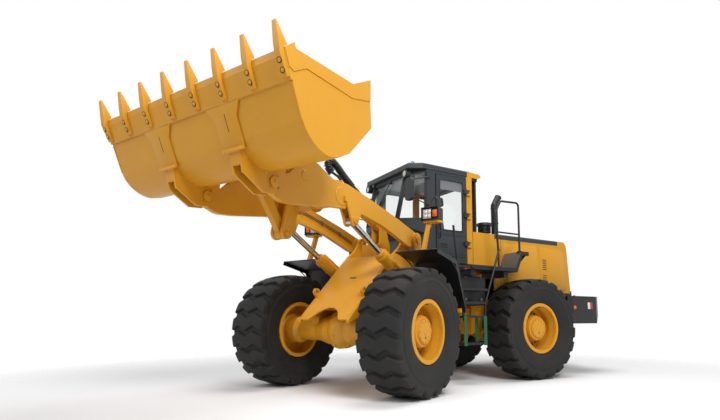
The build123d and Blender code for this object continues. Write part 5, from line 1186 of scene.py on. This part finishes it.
def hood_details():
    """Side panels with louvres and painted shade in their openings, cap ribs, grille bolts, exhaust and intake trim,
    and rear lamps.
    """
    panels = Piece("hood_panels", "hood", YELLOW)
    seams = Piece("hood_seams_and_louvre_shade", "hood", TRIM_AND_SHADE)
    # Dark sheet under each louvre's hood: painted shade in the louvre's opening.
    slot = box_mesh("louvre", (0.096, 0.004, 0.013))
    cowl = Piece("louvre_hood", "hood", YELLOW)
    cowl.prism([(-0.052, 0.0, 0.006), (0.052, 0.0, 0.006), (0.052, 0.0, 0.018), (-0.052, 0.0, 0.018)],
               [(-0.046, 0.008, 0.006), (0.046, 0.008, 0.006), (0.046, 0.008, 0.010), (-0.046, 0.008, 0.010)])
    hooded = to_mesh(cowl.mesh, "louvre_hood")
    for side in SIDES:
        across = span(side, HOOD_SIDE, 0.785)
        panels.slab([(-1.40, 1.50), (-1.40, 2.18), (-1.46, 2.24), (-2.20, 2.24), (-2.24, 2.20), (-2.24, 1.50),
                     (-2.20, 1.46), (-1.44, 1.46)], across)
        panels.slab([(-2.30, 1.50), (-2.30, 2.20), (-2.34, 2.24), (-2.88, 2.20), (-2.94, 2.14), (-2.98, 1.52),
                     (-2.94, 1.46), (-2.34, 1.46)], across)
        seams.rod((-1.350, side * 0.7802, 1.425), (-1.350, side * 0.7802, 2.298), 0.003, 8)
        seams.rod((-1.215, side * 0.7802, 2.2995), (-2.785, side * 0.7802, 2.2995), 0.003, 8)
        turn = Matrix.Diagonal((1.0, side, 1.0, 1.0))
        for z, count in LOUVRES:
            seams.add(row(slot, count, (0.0, 0.0, 0.034), TRIM_AND_SHADE), Matrix.Translation((-2.415, side * 0.7862, z)))
            panels.add(row(hooded, count, (0.0, 0.0, 0.034), YELLOW),
                       Matrix.Translation((-2.415, side * 0.785, z)) @ turn)
        for x in (-1.48, -2.16):
            seams.block((x - 0.020, x + 0.020), span(side, 0.785, 0.791), (1.500, 1.560))
            seams.rod((x, side * 0.790, 1.530), (x, side * 0.798, 1.530), 0.012, 16)
    panels.done(bevel=0.0025)
    seams.done(sharp=35.0)
    top = Piece("hood_cap_ribs", "hood", CHARCOAL)
    for side in SIDES:
        top.slab([(-1.28, 2.3846), (-2.74, 2.3846), (-2.70, 2.397), (-1.32, 2.397)], span(side, 0.42, 0.70))
    top.slab([(-2.04, 2.3846), (-2.66, 2.3846), (-2.63, 2.397), (-2.07, 2.397)], (-0.30, 0.30))
    top.done(bevel=0.004, segments=3)
    bolts = Piece("grille_bolts", "hood", DARK_STEEL_AND_SHADE)
    face = Vector((-0.94, 0.0, 0.075)).normalized()
    for y in (-0.54, -0.18, 0.18, 0.54):
        for z in (1.66, 2.16):
            bolts.bolts([(grille_x(z) + 0.004, y, z)], face, 0.020, 0.010)
    bolts.done(sharp=30.0)
    pipe = Piece("exhaust_trim", "hood", DARK_STEEL_AND_SHADE)
    for z, low, high in ((2.445, 0.0655, 0.074), (2.70, 0.0655, 0.0715), (2.98, 0.0655, 0.0715)):
        pipe.hoop([(0.0, low), (0.0, high), (0.022, high), (0.022, low)], (*EXHAUST, z), UP, 40)
        pipe.block((-1.846, -1.838), (0.186, 0.214), (z - 0.001, z + 0.023))
    pipe.done(bevel=0.001)
    intake = Piece("pre_cleaner_trim", "hood", TRIM_AND_SHADE)
    vane = box_mesh("vane", (0.028, 0.006, 0.110), (0.106, 0.0, 0.0))
    intake.add(ring(vane, 30, TRIM_AND_SHADE), Matrix.Translation((*INTAKE, 2.575)))
    for z, low, high in ((2.400, 0.0955, 0.104), (2.505, 0.0955, 0.124), (2.628, 0.0955, 0.130)):
        intake.hoop([(0.0, low), (0.0, high), (0.012, high), (0.012, low)], (*INTAKE, z), UP)
    intake.turned([(0.0, 0.030), (0.010, 0.029), (0.016, 0.020)], (*INTAKE, 2.6848), UP, 24)
    intake.done(bevel=0.001)
    lamps = Piece("rear_lamp_lenses", "hood", RED)
    for side in SIDES:
        for y in (0.640, 0.700):
            place = (grille_x(REAR_LAMP_Z) - 0.0240, side * y, REAR_LAMP_Z)
            lamps.turned([(0.0, 0.024), (0.005, 0.023), (0.009, 0.014), (0.010, 0.001)], place, (-1, 0, 0.08), 24)
    lamps.done()


# Walkways, ladders, boxes and counterweight

def stud_plate(piece, x, y, z):
    """Chequer studs over a level rectangle."""
    step = 0.042
    build = bmesh.new()
    for cx, cy, angle in ((0.0, 0.0, 45.0), (step / 2, step / 2, -45.0)):
        made = bmesh.ops.create_cone(build, cap_ends=True, segments=8, radius1=0.0115, radius2=0.0085, depth=0.003)
        bmesh.ops.scale(build, vec=(1.0, 0.32, 1.0), verts=made["verts"])
        turn = Matrix.Rotation(math.radians(angle), 4, "Z")
        bmesh.ops.transform(build, matrix=Matrix.Translation((cx, cy, 0.0015)) @ turn, verts=made["verts"])
    across, down = int((x[1] - x[0]) / step) - 1, int((y[1] - y[0]) / step) - 1
    line = row(to_mesh(build, "stud"), across, (step, 0.0, 0.0), GRIP)
    piece.add(row(line, down, (0.0, step, 0.0), GRIP), Matrix.Translation((x[0] + step, y[0] + step, z)))


def walkway_details():
    """Chequer plates, edges, markers and the steps' grips."""
    plates = Piece("walkway_plates", "rear_frame", GRIP)
    for side in SIDES:
        y = span(side, 0.835, 1.226)
        plates.block((-1.245, -0.316), y, (1.7600, 1.7625))
        stud_plate(plates, (-1.245, -0.316), y, 1.7625)
        plates.slab([(-1.251, 1.7605), (-1.251, 1.7635), (-1.3895, 2.0430), (-1.548, 2.0430), (-1.548, 2.0405),
                     (-1.388, 2.0405)], y)
    plates.done(sharp=30.0)
    edges = Piece("walkway_edges", "rear_frame", BLACK)
    for side in SIDES:
        y = side * 1.2305
        for z in (1.753, 1.707):
            edges.tube([(-0.318, y, z), (-1.246, y, z)], 0.006)
        for x, low in ((-0.930, 1.7600), (-1.400, 2.0400)):
            edges.turned([(0.0, 0.048), (0.006, 0.048), (0.008, 0.046), (0.008, 0.022), (0.016, 0.019)],
                         (x, side * 1.170, low), UP, 28)
            edges.bolts([(x + dx, side * 1.170 + dy, low + 0.008)
                         for dx, dy in ((0.034, 0), (-0.034, 0), (0, 0.034), (0, -0.034))], UP, 0.014, 0.008)
        edges.bolts([(x, side * 1.265, 1.73) for x in (-0.30, -0.70)], (0, side, 0), 0.022, 0.010)
    edges.done(sharp=35.0)
    amber = Piece("side_markers", "rear_frame", AMBER)
    for side in SIDES:
        amber.block((-0.3098, -0.2990), span(side, 1.090, 1.222), (1.704, 1.756))
        amber.turned([(0.0, 0.034), (0.006, 0.032), (0.011, 0.020), (0.012, 0.001)],
                     (-2.680, side * 1.2003, 1.150), (0, side, 0), 28)
    amber.done(bevel=0.002)
    grips = Piece("step_grips", "rear_frame", BLACK)
    build = bmesh.new()
    bmesh.ops.create_cone(build, cap_ends=True, segments=4, radius1=0.008, radius2=0.003, depth=0.010)
    tooth, step = to_mesh(build, "grip_tooth"), 0.030
    rungs = ((1.390, -0.590, -0.125), (1.190, -0.545, -0.150), (0.985, -0.530, -0.180), (0.590, -0.490, -0.215))
    for side in SIDES:
        for z, xa, xb in rungs:
            line = row(tooth, int((xb - xa) / step), (step, 0.0, 0.0), BLACK)
            for y in (1.086, 1.256):
                grips.add(line, Matrix.Translation((xa + step / 2, side * y, z + 0.0195)))
    grips.done(sharp=30.0)


def boxes():
    """Side boxes with their lids, hinges and latches, in place of the plain ones."""
    boxes = Piece("side_boxes_lidded", "rear_frame", BLACK)
    locks = Piece("side_box_latches", "rear_frame", STEEL, "rod_chrome")
    small = Piece("side_box_brackets", "rear_frame", YELLOW)
    for side in SIDES:
        boxes.block((-0.760, -0.250), span(side, 0.690, 1.034), (1.160, 1.610))
        boxes.block((-0.745, -0.265), span(side, 1.034, 1.0455), (1.180, 1.590))
        small.block((-0.350, -0.235), span(side, 0.800, 0.985), (1.000, 1.1595))
        for x in (-0.66, -0.35):
            locks.block((x - 0.018, x + 0.018), span(side, 1.0455, 1.0555), (1.225, 1.275))
            locks.rod((x, side * 1.054, 1.250), (x, side * 1.062, 1.250), 0.010, 14)
            locks.rod((x - 0.03, side * 1.050, 1.590), (x + 0.03, side * 1.050, 1.590), 0.008, 12)
    boxes.done(bevel=0.014, segments=3, replaces=("side_boxes",))
    small.done(bevel=0.010, segments=3)
    locks.done(bevel=0.002)


def weight_details():
    """Reflectors, tow pin and edge beads of the counterweight."""
    red = Piece("rear_reflectors_red", "rear_frame", RED)
    white = Piece("rear_reflectors_white", "rear_frame", WHITE)
    for side in SIDES:
        for piece, x in ((white, -3.060), (red, -3.125)):
            piece.block((x - 0.031, x + 0.031), span(side, 1.2005, 1.2060), (1.125, 1.240))
    red.done(bevel=0.001)
    white.done(bevel=0.001)
    pin = Piece("tow_pin", "rear_frame", DARK_STEEL_AND_SHADE)
    pin.turned([(0.0, 0.010), (0.020, 0.0255), (0.540, 0.0255), (0.545, 0.045), (0.560, 0.045), (0.566, 0.040)],
               (-3.505, 0.0, 0.800), UP)
    pin.done(sharp=30.0)
    lip = Piece("weight_edges", "rear_frame", BLACK)
    for side in SIDES:
        lip.tube([(-2.640, side * 1.2005, 1.340), (-3.260, side * 1.2005, 1.340)], 0.007)
        lip.tube([(-3.275, side * 1.196, 1.340), (-3.574, side * 1.003, 1.340)], 0.007)
        lip.turned([(0.0, 0.040), (0.010, 0.040), (0.014, 0.034), (0.014, 0.020), (0.030, 0.018)],
                   (-3.050, side * 0.900, 1.350), UP, 28)
    lip.done(sharp=50.0)


def frame_details():
    """Pins, bolts and hoses of the rear frame, its axle and the steering cylinders."""
    bolts = Piece("rear_axle_bolts", "rear_frame", YELLOW)
    bolts.add(bolt_ring(16, 0.236, 0.022, 0.014, YELLOW), facing((-AXLE_X + 0.095, 0.0, WHEEL_R), AHEAD))
    for side in SIDES:
        bolts.add(bolt_ring(20, 0.176, 0.020, 0.012, YELLOW), facing((-AXLE_X, side * 0.935, WHEEL_R), (0, side, 0)))
        for z in (1.02, 1.12, 1.22):
            bolts.bolts([(-1.10 - 0.09 * k, side * 0.4405, z) for k in range(3)], (0, side, 0), 0.022, 0.012)
    bolts.done(sharp=30.0)
    hinge = Piece("steering_hinge_caps", "rear_frame", YELLOW)
    for z in (1.456, 0.776):
        hinge.turned([(0.0, 0.075), (0.010, 0.075), (0.014, 0.070)], (0.0, 0.0, z), UP, 36)
        hinge.add(bolt_ring(6, 0.055, 0.020, 0.010, YELLOW), facing((0.0, 0.0, z + 0.014), UP))
    hinge.done(sharp=30.0)
    hoses = Piece("hinge_hoses", "rear_frame", TRIM_AND_SHADE)
    for k in range(4):
        y = -0.09 + 0.06 * k
        hoses.tube([(-0.300, y, 1.15), (-0.22, y, 1.17), (-0.12, y * 1.2, 1.13 - 0.01 * k), (-0.04, y * 1.3, 1.06),
                    (0.02, y * 1.3, 1.04)], 0.016)
    hoses.done(sharp=60.0)


# Camera, light and floor

def camera():
    """Camera fitted to the photo."""
    data = bpy.data.cameras.new("photo_camera")
    data.lens = 24.73
    data.sensor_width = 36.0
    data.shift_x = -0.0642
    data.shift_y = 0.0517
    data.clip_end = 200.0
    holder = bpy.data.objects.new("photo_camera", data)
    holder.location = Vector((4.526, 6.938, 0.980)) - ORIGIN
    holder.rotation_euler = (math.radians(90 + 8.05), 0.0, math.radians(-122.76 - 90.0))
    bpy.context.collection.objects.link(holder)
    bpy.context.scene.camera = holder


def lamp(name, place, aim, size, power):
    data = bpy.data.lights.new(name, "AREA")
    data.shape = "DISK"
    data.size = size
    data.energy = power
    holder = bpy.data.objects.new(name, data)
    holder.location = place
    holder.rotation_euler = (Vector(aim) - Vector(place)).to_track_quat("-Z", "Y").to_euler()
    bpy.context.collection.objects.link(holder)


def studio():
    """White background, soft sky light and three large lamps."""
    scene = bpy.context.scene
    scene.view_settings.view_transform = "Standard"
    world = bpy.data.worlds.new("studio")
    world.use_nodes = True
    scene.world = world
    tree = world.node_tree
    back = tree.nodes["Background"]
    back.inputs["Color"].default_value = (0.96, 0.97, 1.0, 1.0)
    back.inputs["Strength"].default_value = 0.31
    white = tree.nodes.new("ShaderNodeBackground")
    white.inputs["Color"].default_value = (1.0, 1.0, 1.0, 1.0)
    path = tree.nodes.new("ShaderNodeLightPath")
    seen, mirrored, through = (Value(tree, path.outputs[kind + " Ray"])
                               for kind in ("Is Camera", "Is Glossy", "Is Transmission"))
    sees = (seen + mirrored + through).clamped()
    mixer = tree.nodes.new("ShaderNodeMixShader")
    tree.links.new(sees.socket, mixer.inputs[0])
    link(tree, back, 0, mixer, 1)
    link(tree, white, 0, mixer, 2)
    tree.links.new(mixer.outputs[0], tree.nodes["World Output"].inputs["Surface"])
    lamp("key", (2.0, 9.0, 8.0), (0.0, 0.3, 1.6), 4.0, 790.0)
    lamp("fill", (9.0, 1.0, 6.0), (1.5, 0.0, 1.5), 6.0, 200.0)
    lamp("top", (-1.5, 0.5, 11.0), (-0.5, 0.0, 1.0), 7.0, 700.0)


def floor():
    """Pale floor that carries the shadow and fades into the white background."""
    build = bmesh.new()
    bmesh.ops.create_circle(build, cap_ends=True, segments=96, radius=12.0)
    mesh = to_mesh(build, "floor")
    plane = bpy.data.objects.new("floor", mesh)
    bpy.context.collection.objects.link(plane)
    f = Finish("pale_floor")
    cloud = f.noise(0.3, 2.0)
    tone = f.mix(cloud * 0.5, (0.90, 0.90, 0.90, 1.0), (0.93, 0.93, 0.93, 1.0))
    x, y = f.axis("X"), f.axis("Y")
    reach = (x * x + y * y).math("SQRT")
    shown = 1.0 - (reach - 4.6) / 3.0
    mesh.materials.append(f.set(Base_Color=tone, Roughness=0.9, Specular_IOR_Level=0.1, Alpha=shown.clamped()))


wheels()
bucket()
teeth()
boom_details()
cylinder_details()
front_frame_details()
mudguard_details()
headlamps()
cab_details()
seat()
hood_details()
walkway_details()
boxes()
weight_details()
frame_details()

camera()
studio()
floor()
